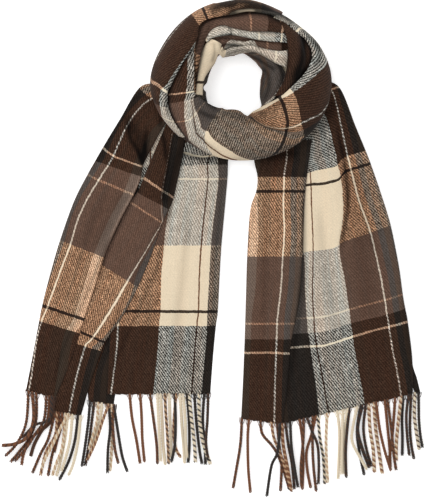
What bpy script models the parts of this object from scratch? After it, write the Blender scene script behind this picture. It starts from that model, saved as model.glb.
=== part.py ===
# Blanket scarf: one fringed cloth, wound once into a ring and laid flat on a surface.
# The ring lies at the top (+Y), both tails run down (-Y), and +Z points up off the surface.
# Lengths are in millimetres until a mesh is made; every solid's underside is at z >= 0.
import math

import bpy
import bmesh

MM = 0.001

# The cloth
CLOTH = 2.2            # thickness of one layer
SEAM = 0.3             # room between two layers that lie flat on each other
RING_STEP = 3.1        # from one layer of the ring to the next, measured off the tube
TAIL_STEP = CLOTH + 0.7

# Where the box of the whole scarf is centred on the table coordinates below
PLACE = (0.24, 1.14)

# The ring: a tube of gathered cloth round the neck hole
RING_CENTRE = (36.0, 249.0)
RING_FLOOR = 12.0      # underside of the ring, on top of the tails
RING_CROWN = 29.0      # rise of the hidden layers above it
RING_REST = 1.1        # room between the hidden layers and the first stretch
RING_REACH = 1.06      # brings an edge near the ring's outline right down its side
RING_STATIONS = 40
# angle from +X in degrees, radius of the hidden layers on the hole side and on the outer side
RING_TUBE = (
    (0, 43, 119.5), (30, 48, 110), (60, 50, 102), (90, 53, 98), (120, 54, 96), (150, 48, 96.5),
    (180, 49, 101.5), (210, 56, 97), (240, 64, 92.5), (270, 62, 94.5), (300, 72, 101), (330, 48, 113.5),
)
CORE_SIDES = 9

# Layered edge of the cloth under the ring, at the back and between the tails
BASE_BACK = {"start": 12, "end": 168, "inset_hole": -1.5, "inset_outer": 15.5, "stations": 20}
BASE_FRONT = {"start": 268, "end": 280.5, "inset_hole": 1.0, "inset_outer": -4.0, "stations": 4}
BASE_LAYERS = 2
BASE_ROUND = 2.2       # how far each layer's edge bulges

# The ring's stretches. Each row is a station along the cloth: x, y of the edge on the hole
# side, then x, y of the other edge. "level" is how many layers lie below, "puff" how far the
# middle stands off, and "tuck" the width that runs on under the next stretch past the outer
# edge, which a fifth number in a row changes for its own station.
STRETCHES = {
    "outer_band": {
        "level": 6.4, "puff": 4.5, "tuck": 0, "along": 28, "across": 5,
        "colour": (0.09, 0.055, 0.038),
        "rows": (
            (103, 349.5, 106, 353.5), (90, 354, 87, 364), (57, 354, 57, 371), (33, 349.5, 30, 369),
            (13.5, 346.5, 7, 364), (-5, 342, -13, 358), (-18, 333, -28, 350), (-24, 309, -58, 322),
            (-45, 274.5, -73.5, 297), (-60, 244.5, -85.5, 270), (-64.5, 234, -88.5, 259),
            (-63, 211.5, -82.5, 226.5), (-54, 190.5, -70.5, 198), (-39, 169.5, -46, 171),
        ),
    },
    "front_loop": {
        "level": 5, "puff": 5.5, "tuck": 0, "along": 36, "across": 7,
        "colour": (0.16, 0.12, 0.09),
        "rows": (
            (-22, 314, -27, 311, 8), (-26, 298.5, -32, 297, 8), (-28, 268, -47, 270, 8),
            (-28.5, 236, -62, 234, 8), (-21, 226.5, -62, 209, 8), (-6, 215, -54, 189, 7),
            (10.5, 208, -29, 158.5, 6), (33, 206, 4.5, 143, 0), (55.5, 198, 39, 134.5, 0),
            (79.5, 213, 67.5, 136, 0), (103, 227, 94.5, 143, 0), (120, 243, 135, 165, 0),
            (136.5, 256.5, 153, 184, 0), (145.5, 268.5, 166.5, 205.5, 0), (150, 283.5, 175.5, 235.5, 0),
            (151.5, 298.5, 175.5, 264, 0), (147, 307.5, 165.5, 293, 0), (139.5, 318, 151.5, 312, 0),
            (127.5, 329, 136.5, 328, 0), (113, 341.5, 121, 342, 0), (96, 349, 102, 354, 0),
        ),
    },
    "right_inner_fold": {
        "level": 4, "puff": 4.0, "tuck": 5, "along": 16, "across": 5,
        "colour": (0.045, 0.03, 0.024),
        "rows": (
            (91, 348, 104, 346), (102, 337.5, 124, 329), (111, 313.5, 143, 309), (112.5, 289.5, 149, 286.5),
            (111, 268.5, 144, 267), (105, 247.5, 127.5, 249), (93, 228, 108, 231),
        ),
    },
    "collar_band": {
        "level": 3, "puff": 3.5, "tuck": 5, "along": 24, "across": 4,
        "colour": (0.12, 0.08, 0.065),
        "rows": (
            (111, 321, 104, 345), (87, 324, 84, 352), (58.5, 326, 57, 351), (36, 330, 33, 348),
            (15, 334.5, 10.5, 345), (-1.5, 327, -9, 337.5), (-12, 310.5, -20, 319.5), (-18, 289.5, -25.5, 298.5),
            (-22.5, 265.5, -28, 271.5), (-25.5, 232.5, -30, 235.5),
        ),
    },
    "collar_fold_light": {
        "level": 2, "puff": 1.8, "tuck": 4, "along": 20, "across": 4,
        "colour": (0.42, 0.40, 0.36),
        "rows": (
            (111, 307.5, 111, 322), (90, 310.5, 87, 325), (66, 314.5, 61.5, 327), (46.5, 319, 42, 330.5),
            (28.5, 321, 24, 333.5), (13.5, 319, 7.5, 334), (0, 316, -6, 327), (-7, 309, -12.5, 314),
        ),
    },
    "collar_fold_dark": {
        "level": 0, "puff": 1.5, "tuck": 3, "along": 18, "across": 4,
        "colour": (0.07, 0.05, 0.04),
        "rows": (
            (111, 298, 112, 309), (99, 296.5, 97.5, 310.5), (81, 301, 78, 313.5), (61.5, 307, 58.5, 317),
            (42, 308, 39, 320), (25.5, 304.5, 22.5, 320), (16, 301, 12.5, 317),
        ),
    },
    "collar_fold_low": {
        "level": 2, "puff": 3.0, "tuck": 0, "along": 22, "across": 4,
        "colour": (0.45, 0.43, 0.39),
        "rows": (
            (110.5, 272, 112, 297), (97.5, 278.5, 99, 297), (81, 289, 81, 302), (63, 298, 61.5, 308),
            (48, 298.5, 45, 308.5), (31.5, 295.5, 28.5, 306), (18, 289.5, 19, 301), (8, 295, 14, 304),
        ),
    },
    "inner_cream_fold": {
        "level": 1, "puff": 2.2, "tuck": 3, "along": 18, "across": 5,
        "colour": (0.72, 0.64, 0.50),
        "rows": (
            (13.5, 308, 3, 313), (8, 295.5, -8, 303.5), (1.5, 280.5, -15, 288), (-7, 268.5, -20, 271.5),
            (-15.5, 253.5, -24, 253.5), (-16.5, 229.5, -25.5, 231),
        ),
    },
    "inner_left_band": {
        "level": 0, "puff": 0.5, "tuck": 3, "along": 14, "across": 5,
        "colour": (0.05, 0.045, 0.04),
        "rows": (
            (13, 292, 4, 299), (6, 276, -5, 283), (-7, 263, -17, 268), (-11, 250.5, -20, 253),
            (-15, 239, -25, 238), (-6, 221, -20, 217),
        ),
    },
    "inner_right_band": {
        "level": 1, "puff": 2.0, "tuck": 0, "along": 18, "across": 6,
        "colour": (0.07, 0.06, 0.055),
        "rows": (
            (39, 292.5, 50, 299), (57, 288, 74, 293), (69, 277.5, 94, 282), (76, 265.5, 108, 265.5),
            (74, 247.5, 106, 244.5), (69, 223.5, 93, 225), (67.5, 209, 76, 211),
        ),
    },
}
TUCK_LEAST = 0.8       # every stretch runs on at least this far past its outer edge
TUCK_CLEAR = 4.0       # a stretch stays flat this far beyond an edge that another one covers
END_FLAT = 0.05        # share of its length that stays flat at each end
END_FADE = 0.14        # share of a stretch's length over which its puff grows from each end

# The tails. Each row is a station from the ring down to the hem: x, y of its left edge, then
# x, y of its right edge.
TAIL_LOFT = 3.4        # height of the hidden layers
TAIL_LOFT_ROUND = 12.0
TUCKED = {"left": 3.0, "right": 2.9}    # how much more a tail rises to meet the ring's underside
TUCKED_WITHIN = 118.0  # it has risen this near the ring's centre,
TUCKED_FROM = 185.0    # and starts to rise here
CLIMB_MARGIN = 9.0     # a panel is at full height this far outside an edge that it crosses
CLIMB_SLOPE = 24.0
LEFT_CORE = {
    "along": 14, "across": 7, "colour": (0.10, 0.07, 0.05),
    "rows": (
        (-70, 226, 20, 172), (-100, 196, 18, 140), (-134, 150, 10, 106), (-170, 100, 6, 56),
        (-196, 40, 0, 6), (-216, -20, -4, -44), (-230, -62, -8, -84),
    ),
}
RIGHT_CORE = {
    "along": 14, "across": 7, "colour": (0.10, 0.07, 0.05),
    "rows": (
        (80, 170, 150, 236), (78, 138, 192, 200), (80, 106, 218, 146), (72, 52, 240, 80),
        (66, -12, 254, 34), (64, -62, 264, -20), (62, -112, 270, -68), (62, -150, 276, -110),
    ),
}
PANELS = {
    "left_under_fold": {
        "over": (), "along": 9, "across": 4, "colour": (0.04, 0.03, 0.026),
        "rows": (
            (-150, -103.5, -129, -109.5), (-171, -151.5, -135, -154.5), (-186, -189, -141, -192),
            (-186, -226.5, -147, -232.5),
        ),
    },
    "left_panel": {
        "over": ("left_core", "left_under_fold"), "along": 18, "across": 11, "colour": (0.40, 0.31, 0.23),
        "rows": (
            (-33, 178.5, 30, 163.5), (-63, 139.5, 25, 136.5), (-75, 121.5, 24, 121.5), (-81, 103.5, 23.5, 105),
            (-99, 54, 19, 55.5), (-120, 3, 14.5, 6), (-138, -46.5, 11.5, -43.5), (-150, -96, 9, -93),
            (-154, -118.5, 6, -115.5), (-155, -166.5, 1.5, -163.5), (-157.5, -216, -2.3, -215.7),
        ),
    },
    "left_flap_inner": {
        "over": ("left_core", "left_under_fold", "left_panel"), "along": 20, "across": 6,
        "colour": (0.12, 0.085, 0.065),
        "rows": (
            (-60, 208.5, -39, 181.5), (-78, 166.5, -42, 148.5), (-102, 108, -57, 78), (-109.5, 88.5, -64.5, 60),
            (-123, 69, -75, 37.5), (-144, 25.5, -91.5, -10.5), (-165, -22.5, -111, -57),
            (-180, -70.5, -132, -97.5), (-200, -123, -160.5, -139.5), (-205.5, -141.5, -166.5, -154.5),
            (-220.5, -184.5, -180, -194), (-240, -241.5, -196, -249),
        ),
    },
    "left_flap_outer": {
        "over": ("left_core", "left_under_fold", "left_panel", "left_flap_inner"), "along": 20, "across": 7,
        "colour": (0.22, 0.15, 0.11),
        "rows": (
            (-78, 247.5, -52, 200), (-108, 243, -70.5, 186), (-139, 193.5, -90, 151.5),
            (-163.5, 153, -103.5, 124.5), (-175.5, 132, -106.5, 106.5), (-186.5, 112.5, -117, 81),
            (-207, 72, -139.5, 39), (-228, 13.5, -162, -11), (-243, -37.5, -175.5, -55.5),
            (-255, -85, -192, -103.5), (-259.5, -108, -199.5, -126), (-269, -159, -216, -172.5),
            (-279, -210.8, -237, -221.5),
        ),
    },
    "right_under_fold": {
        "over": (), "along": 6, "across": 3, "colour": (0.05, 0.04, 0.035),
        "rows": (
            (282, -140, 297.5, -152), (288, -169.5, 302, -177), (296, -193.5, 307.5, -193.5),
            (303.2, -214.5, 312.6, -214.5),
        ),
    },
    "right_panel_main": {
        "over": ("right_core", "right_under_fold"), "along": 17, "across": 11, "colour": (0.26, 0.2, 0.16),
        "rows": (
            (129, 178.5, 165, 253.5), (142.5, 148.5, 192, 241.5), (142, 126, 216, 183), (140, 112.5, 231, 147),
            (138, 96, 238.5, 127.5), (135, 46.5, 255, 79.5), (134, -6, 268.5, 34.5), (129, -61.5, 280.5, -25.5),
            (120, -106.5, 286.5, -69), (114, -127.5, 290.3, -90), (111, -150, 294, -110), (107, -204, 300.5, -164),
            (101, -261, 301.5, -215.5),
        ),
    },
    "right_panel_left": {
        "over": ("right_core", "right_panel_main"), "along": 18, "across": 8, "colour": (0.2, 0.14, 0.105),
        "rows": (
            (60, 163.5, 150, 163.5), (63, 132, 145.5, 133.5), (68, 108, 142.5, 108), (66, 86.5, 140.5, 88.5),
            (57, 57, 138, 55.5), (52.5, -12.6, 136.5, -12), (51, -61.5, 134.5, -60), (49.5, -111.8, 124.5, -112.5),
            (48.8, -135, 119.5, -136), (48, -156, 116.5, -159), (46, -204, 112.5, -207),
            (43.5, -252.8, 106.5, -261),
        ),
    },
}
# Soft ridges that run down a tail through all its layers: place across from left edge (0)
# to right edge (1), half width, height, and the y where each starts and ends.
LEFT_RIDGES = ((0.14, 0.09, 3.0, 190, -60), (0.50, 0.10, 1.6, 150, -60), (0.84, 0.09, 2.0, 120, -70))
RIGHT_RIDGES = ((0.14, 0.09, 2.6, 110, -110), (0.60, 0.09, 2.6, 150, -60), (0.86, 0.08, 2.4, 150, -80))
RIDGE_FADE = 45.0

# The fringes. Each strand: x of its root on the hem, x, y of its tip, and how many strands it
# lifts over.
STRAND_WIDTH = 4.0
STRAND_LIFT = 5.2
STRAND_CLEAR = 0.5     # height of the strands' undersides above the surface
STRAND_STEPS = 4
STRIP_DEPTH = 3.0      # the strip that holds the roots, out from the hem
STRIP_INSET = 0.2      # its ends, in from the hem's corners
FRINGES = {
    "fringe_left_outer": ("left_flap_outer", (
        (-275, -309, -311, 0), (-269, -301, -318, 1), (-263, -294, -319, 0), (-257, -286.5, -322, 1),
        (-251, -313.5, -294, 2), (-246, -278, -313, 0), (-240.5, -272, -309, 1))),
    "fringe_left_inner": ("left_flap_inner", (
        (-236, -266, -335, 0), (-229.5, -256, -338, 1), (-223, -246.5, -340, 0), (-217, -237.5, -338, 1),
        (-211, -229, -343.5, 0), (-205, -220.5, -337, 1), (-199.5, -212, -336, 0))),
    "fringe_left_fold": ("left_under_fold", (
        (-182, -202, -325, 0), (-176, -194.5, -325, 1), (-170, -186.5, -319, 0), (-164, -178, -311, 1),
        (-157.5, -168.5, -330, 0), (-151.5, -157, -336.5, 1))),
    "fringe_left_panel": ("left_panel", (
        (-137, -143, -321, 0), (-129, -128.5, -332, 1), (-122, -109.5, -321.5, 0), (-108, -101.5, -318, 1),
        (-93, -82, -322, 0), (-73.5, -66.5, -321, 0), (-66, -48.5, -309.5, 1), (-55, -59.5, -317, 0),
        (-46, -41.5, -322, 0), (-38.5, -35, -321.5, 1), (-32, -27.5, -323.5, 0), (-26, -20.5, -322, 1),
        (-19, -2.5, -320.5, 2), (-12, -13.5, -322, 0), (-6.5, -7, -317, 1))),
    "fringe_right_left": ("right_panel_left", (
        (46.5, 31.5, -360, 0), (55, 57.5, -365, 1), (74, 112, -362, 0), (84, 103.5, -361.5, 1),
        (93, 82, -370, 2), (101, 121, -361.5, 0))),
    "fringe_right_main": ("right_panel_main", (
        (111, 129, -357, 0), (118.5, 136.5, -360.5, 1), (127, 148.5, -358, 0), (135, 155.5, -363.5, 1),
        (144, 163, -352.5, 0), (158, 171.5, -353, 1), (169.5, 184.5, -348, 0), (178.5, 192.5, -347.5, 1),
        (190.5, 201.5, -343, 0), (202, 233.5, -333, 1), (212, 226.5, -338.5, 0), (220.5, 239.5, -331, 0),
        (229.5, 247, -339, 1), (238, 255, -337, 0), (247, 262.5, -334, 1), (257, 270, -332, 0),
        (266.5, 277, -331.5, 1), (276, 283, -322, 0), (284, 289, -309, 1), (291, 295, -311, 0),
        (297.5, 301, -314.5, 1))),
    "fringe_right_fold": ("right_under_fold", (
        (305.6, 308, -297, 0), (310.2, 313.3, -297.5, 1))),
}
FRINGE_COLOUR = (0.20, 0.11, 0.065)


# ---- helpers -------------------------------------------------------------------------

def catmull(p0, p1, p2, p3, t):
    """One value on the smooth curve from p1 to p2."""
    return 0.5 * (2 * p1 + (p2 - p0) * t + (2 * p0 - 5 * p1 + 4 * p2 - p3) * t * t
                  + (3 * p1 - p0 - 3 * p2 + p3) * t ** 3)


def smooth_rows(rows, count):
    """count rows spread evenly along the smooth curve through the rows of a table."""
    last = len(rows) - 1
    result = []
    for step in range(count):
        place = step * last / (count - 1)
        k = min(int(place), last - 1)
        four = [rows[max(0, k - 1)], rows[k], rows[k + 1], rows[min(last, k + 2)]]
        result.append(tuple(catmull(*column, place - k) for column in zip(*four)))
    return result


def ease(t):
    """0 to 1, soft at both ends."""
    t = min(1.0, max(0.0, t))
    return t * t * (3 - 2 * t)


def blend(a, b, t):
    return a + (b - a) * t


def cloth_material(name, colour):
    material = bpy.data.materials.new(name)
    material.use_nodes = True
    shader = material.node_tree.nodes["Principled BSDF"]
    shader.inputs["Base Color"].default_value = (*colour, 1.0)
    shader.inputs["Roughness"].default_value = 0.9
    shader.inputs["Metallic"].default_value = 0.0
    material.diffuse_color = (*colour, 1.0)
    return material


def add_solid(name, points, faces, colour, smooth_angle=50):
    """A closed mesh object from points in millimetres, its faces turned outwards."""
    mesh = bpy.data.meshes.new(name)
    mesh.from_pydata([((x - PLACE[0]) * MM, (y - PLACE[1]) * MM, z * MM) for x, y, z in points], [], faces)
    work = bmesh.new()
    work.from_mesh(mesh)
    bmesh.ops.recalc_face_normals(work, faces=work.faces)
    work.to_mesh(mesh)
    work.free()
    mesh.shade_smooth()
    mesh.set_sharp_from_angle(angle=math.radians(smooth_angle))
    mesh.materials.append(cloth_material(name, colour))
    thing = bpy.data.objects.new(name, mesh)
    bpy.context.scene.collection.objects.link(thing)
    return thing


def add_wall(name, upper, lower, colour):
    """A closed sheet between two grids of points with the same rows and columns."""
    rows, columns = len(upper), len(upper[0])
    points = [p for grid in (upper, lower) for row in grid for p in row]
    under = rows * columns

    def at(i, j):
        return i * columns + j

    faces = []
    for i in range(rows - 1):
        for j in range(columns - 1):
            quad = (at(i, j), at(i, j + 1), at(i + 1, j + 1), at(i + 1, j))
            faces.append(quad)
            faces.append(tuple(under + k for k in reversed(quad)))
    rim = [at(0, j) for j in range(columns)] + [at(i, columns - 1) for i in range(1, rows)]
    rim += [at(rows - 1, j) for j in range(columns - 2, -1, -1)] + [at(i, 0) for i in range(rows - 2, 0, -1)]
    for a, b in zip(rim, rim[1:] + rim[:1]):
        faces.append((b, a, under + a, under + b))
    return add_solid(name, points, faces, colour)


# ---- the ring ------------------------------------------------------------------------

def tube_at(angle):
    """Middle radius and half width of the hidden layers at an angle in radians."""
    count = len(RING_TUBE)
    place = math.degrees(angle) % 360 / 360 * count
    k = int(place) % count
    four = [RING_TUBE[(k + n) % count][1:] for n in (-1, 0, 1, 2)]
    hole, outer = (catmull(*column, place - int(place)) for column in zip(*four))
    return (hole + outer) / 2, (outer - hole) / 2


def ring_point(angle, turn, off):
    """A point off the tube: turn is 0 at its outer side and pi at the hole."""
    middle, half = tube_at(angle)
    radius = middle + (half + off) * math.cos(turn)
    return (RING_CENTRE[0] + radius * math.cos(angle), RING_CENTRE[1] + radius * math.sin(angle),
            RING_FLOOR + (RING_CROWN + off) * math.sin(turn))


def ring_place(x, y, off):
    """The angle and turn at which a stretch seen from above at x, y lies."""
    dx, dy = x - RING_CENTRE[0], y - RING_CENTRE[1]
    angle = math.atan2(dy, dx)
    middle, half = tube_at(angle)
    across = (math.hypot(dx, dy) - middle) / (half + off) * RING_REACH
    return angle, math.acos(min(1.0, max(-1.0, across)))


def ring_stretch(name, spec):
    """A stretch of cloth over the tube, flat where it is tucked under a neighbour."""
    off = RING_REST + spec["level"] * RING_STEP
    upper, lower = [], []
    rows = [row if len(row) > 4 else (*row, spec["tuck"]) for row in spec["rows"]]
    for k, (hole_x, hole_y, outer_x, outer_y, tuck) in enumerate(smooth_rows(rows, spec["along"])):
        share = k / (spec["along"] - 1)
        puff = spec["puff"] * ease((min(share, 1 - share) - END_FLAT) / END_FADE)
        angle_a, turn_a = ring_place(hole_x, hole_y, off + CLOTH)
        angle_b, turn_b = ring_place(outer_x, outer_y, off + CLOTH)
        if angle_b - angle_a > math.pi:
            angle_b -= 2 * math.pi
        if angle_b - angle_a < -math.pi:
            angle_b += 2 * math.pi
        arc = max(1.0, abs(turn_a - turn_b) * (tube_at(angle_a)[1] + off))
        clear = min(0.3, min(tuck, TUCK_CLEAR) / arc)
        places = [n / (spec["across"] - 1) for n in range(spec["across"])]
        places.append(1 + max(tuck, TUCK_LEAST) / arc)
        top_row, low_row = [], []
        for t in places:
            rise = puff * math.sin(math.pi * min(1.0, max(0.0, t / (1 - clear)))) ** 0.8
            angle = blend(angle_a, angle_b, t)
            turn = min(math.pi, max(0.0, blend(turn_a, turn_b, t)))
            top_row.append(ring_point(angle, turn, off + rise + CLOTH))
            low_row.append(ring_point(angle, turn, off + rise))
        upper.append(top_row)
        lower.append(low_row)
    return add_wall(name, upper, lower, spec["colour"])


def ring_core():
    """The hidden layers of the ring: a rounded tube with a flat underside."""
    points, faces = [], []
    for k in range(RING_STATIONS):
        angle = 2 * math.pi * k / RING_STATIONS
        points += [ring_point(angle, math.pi * n / CORE_SIDES, 0.0) for n in range(CORE_SIDES + 1)]
    ring = CORE_SIDES + 1
    for k in range(RING_STATIONS):
        here, there = k * ring, (k + 1) % RING_STATIONS * ring
        for n in range(CORE_SIDES):
            faces.append((here + n, here + n + 1, there + n + 1, there + n))
        faces.append((here + CORE_SIDES, here, there, there + CORE_SIDES))
    return add_solid("ring_core", points, faces, (0.08, 0.06, 0.05))


def ring_base(name, spec):
    """Layers of cloth under the ring, each with a rounded edge."""
    top = RING_FLOOR - SEAM
    layer = top / BASE_LAYERS
    points, faces = [], []
    outline = 4 * BASE_LAYERS + 2
    for k in range(spec["stations"]):
        angle = math.radians(blend(spec["start"], spec["end"], k / (spec["stations"] - 1)))
        middle, half = tube_at(angle)
        hole = middle - half + spec["inset_hole"]
        outer = middle + half + spec["inset_outer"]
        side = []
        for n in range(BASE_LAYERS):
            side += [(0.0, n * layer), (BASE_ROUND, (n + 0.5) * layer)]
        side.append((0.0, top))
        section = [(outer + bulge, z) for bulge, z in side]
        section += [(hole - bulge, z) for bulge, z in reversed(side)]
        points += [(RING_CENTRE[0] + r * math.cos(angle), RING_CENTRE[1] + r * math.sin(angle), z)
                   for r, z in section]
    for k in range(spec["stations"] - 1):
        here, there = k * outline, (k + 1) * outline
        for n in range(outline):
            m = (n + 1) % outline
            faces.append((here + n, here + m, there + m, there + n))
    faces.append(tuple(range(outline)))
    last = (spec["stations"] - 1) * outline
    faces.append(tuple(last + n for n in reversed(range(outline))))
    return add_solid(name, points, faces, (0.09, 0.065, 0.05))


# ---- the tails -----------------------------------------------------------------------

def outline_of(rows):
    """The closed outline of a table of left and right edges."""
    smooth = smooth_rows(rows, 3 * len(rows))
    return [(row[0], row[1]) for row in smooth] + [(row[2], row[3]) for row in reversed(smooth)]


def depth_inside(outline, x, y):
    """Distance to an outline, positive inside it."""
    nearest, inside = 1e9, False
    for (ax, ay), (bx, by) in zip(outline, outline[1:] + outline[:1]):
        ux, uy = bx - ax, by - ay
        t = min(1.0, max(0.0, ((x - ax) * ux + (y - ay) * uy) / (ux * ux + uy * uy)))
        nearest = min(nearest, math.hypot(x - ax - t * ux, y - ay - t * uy))
        if (ay > y) != (by > y) and x < ax + (y - ay) / (by - ay) * (bx - ax):
            inside = not inside
    return nearest if inside else -nearest


OUTLINES = {name: outline_of(spec["rows"]) for name, spec in PANELS.items()}
OUTLINES["left_core"] = outline_of(LEFT_CORE["rows"])
OUTLINES["right_core"] = outline_of(RIGHT_CORE["rows"])
SIDES = {
    "left": (PANELS["left_flap_outer"]["rows"], PANELS["left_panel"]["rows"], LEFT_RIDGES),
    "right": (PANELS["right_panel_left"]["rows"], PANELS["right_panel_main"]["rows"], RIGHT_RIDGES),
}


def edge_x(rows, column, y):
    """The x of a panel's left (0) or right (2) edge at a height y."""
    pairs = [(row[column + 1], row[column]) for row in rows]
    for (ya, xa), (yb, xb) in zip(pairs, pairs[1:]):
        if yb <= y <= ya:
            return blend(xa, xb, (ya - y) / (ya - yb))
    return pairs[0][1] if y > pairs[0][0] else pairs[-1][1]


def ridge_height(side, x, y):
    """The folds that run down a tail under all its layers."""
    left_rows, right_rows, ridges = SIDES[side]
    left, right = edge_x(left_rows, 0, y), edge_x(right_rows, 2, y)
    place = (x - left) / (right - left)
    height = 0.0
    for centre, half_width, rise, top_y, bottom_y in ridges:
        along = ease((top_y - y) / RIDGE_FADE) * ease((y - bottom_y) / RIDGE_FADE)
        height += rise * along * math.exp(-((place - centre) / half_width) ** 2)
    return height


def loft(side, x, y):
    """Height of a tail's hidden layers, more under the ring."""
    away = math.hypot(x - RING_CENTRE[0], y - RING_CENTRE[1])
    return TAIL_LOFT + TUCKED[side] * ease((TUCKED_FROM - away) / (TUCKED_FROM - TUCKED_WITHIN))


def core_height(side, x, y):
    """Top of a tail's hidden layers, rounded down to the surface at their edge."""
    depth = max(0.0, depth_inside(OUTLINES[side + "_core"], x, y))
    rounded = 1 - min(1.0, depth / TAIL_LOFT_ROUND)
    return loft(side, x, y) * math.sqrt(1 - rounded * rounded)


def climb(name, x, y):
    """1 over a piece and near it, down to 0 where a panel has reached the surface."""
    outside = max(0.0, -depth_inside(OUTLINES[name], x, y))
    return ease((CLIMB_MARGIN + CLIMB_SLOPE - outside) / CLIMB_SLOPE)


def panel_underside(name, x, y):
    """Height of a panel's underside over what it lies on."""
    height = 0.0
    for below in PANELS[name]["over"]:
        if below.endswith("_core"):
            side = name.split("_")[0]
            rise = loft(side, x, y) + SEAM + ridge_height(side, x, y)
        else:
            rise = TAIL_STEP
        height += rise * climb(below, x, y)
    return height


def across_row(row, t):
    return blend(row[0], row[2], t), blend(row[1], row[3], t)


def tail_core(name, spec):
    side = name.split("_")[0]
    upper, lower = [], []
    for row in smooth_rows(spec["rows"], spec["along"]):
        places = [across_row(row, k / (spec["across"] - 1)) for k in range(spec["across"])]
        upper.append([(x, y, max(0.6, core_height(side, x, y))) for x, y in places])
        lower.append([(x, y, 0.0) for x, y in places])
    return add_wall(name, upper, lower, spec["colour"])


def tail_panel(name, spec):
    upper, lower = [], []
    for row in smooth_rows(spec["rows"], spec["along"]):
        low_row = []
        for k in range(spec["across"]):
            x, y = across_row(row, k / (spec["across"] - 1))
            low_row.append((x, y, panel_underside(name, x, y)))
        lower.append(low_row)
        upper.append([(x, y, z + CLOTH) for x, y, z in low_row])
    return add_wall(name, upper, lower, spec["colour"])


# ---- the fringes ---------------------------------------------------------------------

def hem_point(panel, x):
    """A point on a panel's hem, its outward direction and its height."""
    left_x, left_y, right_x, right_y = PANELS[panel]["rows"][-1]
    t = (x - left_x) / (right_x - left_x)
    y = blend(left_y, right_y, t)
    length = math.hypot(right_x - left_x, right_y - left_y)
    out = ((right_y - left_y) / length, -(right_x - left_x) / length)
    return x, y, out, panel_underside(panel, x, y)


def strand_path(start, out, tip, lift, low):
    """Centre points of one strand, from the strip to its tip, low on the surface."""
    reach = math.hypot(tip[0] - start[0], tip[1] - start[1])
    bend = (start[0] + out[0] * reach * 0.3, start[1] + out[1] * reach * 0.3)
    path = []
    for k in range(1, STRAND_STEPS + 1):
        t = k / STRAND_STEPS
        x = (1 - t) ** 2 * start[0] + 2 * t * (1 - t) * bend[0] + t * t * tip[0]
        y = (1 - t) ** 2 * start[1] + 2 * t * (1 - t) * bend[1] + t * t * tip[1]
        z = blend(start[2], low, ease(t * 2.5)) + lift * STRAND_LIFT * math.sin(math.pi * min(1.0, t * 0.9)) ** 0.7
        path.append((x, y, max(low, z)))
    return path


def fringe(name, panel, strands):
    """A strip just outside a hem, with its strands drawn out of the strip's outer face."""
    left_x, right_x = PANELS[panel]["rows"][-1][0], PANELS[panel]["rows"][-1][2]
    half = STRAND_WIDTH / 2
    stops = [left_x + STRIP_INSET]
    for root_x, *_ in strands:
        stops += [root_x - half, root_x + half]
    stops.append(right_x - STRIP_INSET)
    points, faces = [], []
    for x in stops:
        x, y, out, z = hem_point(panel, x)
        near = (x + out[0] * SEAM, y + out[1] * SEAM)
        far = (x + out[0] * STRIP_DEPTH, y + out[1] * STRIP_DEPTH)
        low = z + 0.05
        points += [(*near, low), (*near, low + CLOTH), (*far, low + CLOTH), (*far, low)]
    for k in range(len(stops) - 1):
        a, b = 4 * k, 4 * k + 4
        faces += [(a, a + 1, b + 1, b), (a + 1, a + 2, b + 2, b + 1), (a + 3, a, b, b + 3)]
        if k % 2 == 0:
            faces.append((a + 2, a + 3, b + 3, b + 2))
    faces += [(0, 3, 2, 1)]
    last = 4 * (len(stops) - 1)
    faces += [(last, last + 1, last + 2, last + 3)]
    for k, (root_x, tip_x, tip_y, lift) in enumerate(strands):
        a = 4 * (2 * k + 1)
        loop = [a + 2, a + 3, a + 7, a + 6]
        root = [sum(points[n][axis] for n in loop) / 4 for axis in range(3)]
        out = hem_point(panel, root_x)[2]
        path = strand_path(root, out, (tip_x, tip_y), lift, STRAND_CLEAR + half)
        before = root
        for here in path:
            run = (here[0] - before[0], here[1] - before[1])
            length = math.hypot(*run)
            side = (-run[1] / length * half, run[0] / length * half)
            if side[0] * (points[a + 6][0] - points[a + 2][0]) + side[1] * (points[a + 6][1] - points[a + 2][1]) > 0:
                side = (-side[0], -side[1])
            base = len(points)
            points += [(here[0] + side[0], here[1] + side[1], here[2] + half),
                       (here[0] + side[0], here[1] + side[1], here[2] - half),
                       (here[0] - side[0], here[1] - side[1], here[2] - half),
                       (here[0] - side[0], here[1] - side[1], here[2] + half)]
            new = [base, base + 1, base + 2, base + 3]
            for n in range(4):
                m = (n + 1) % 4
                faces.append((loop[n], loop[m], new[m], new[n]))
            loop, before = new, here
        faces.append(tuple(loop))
    return add_solid(name, points, faces, FRINGE_COLOUR)


def build():
    for thing in list(bpy.data.objects):
        bpy.data.objects.remove(thing)
    ring_core()
    ring_base("ring_base_back", BASE_BACK)
    ring_base("ring_base_front", BASE_FRONT)
    for name, spec in STRETCHES.items():
        ring_stretch(name, spec)
    tail_core("left_tail_core", LEFT_CORE)
    tail_core("right_tail_core", RIGHT_CORE)
    for name, spec in PANELS.items():
        tail_panel(name, spec)
    for name, (panel, strands) in FRINGES.items():
        fringe(name, panel, strands)


build()
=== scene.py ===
# Looks for a blanket scarf that is wound once and laid flat: checked twill and twisted tassels.
import math

import bpy
import numpy as np
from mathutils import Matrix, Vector
from mathutils.bvhtree import BVHTree


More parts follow.
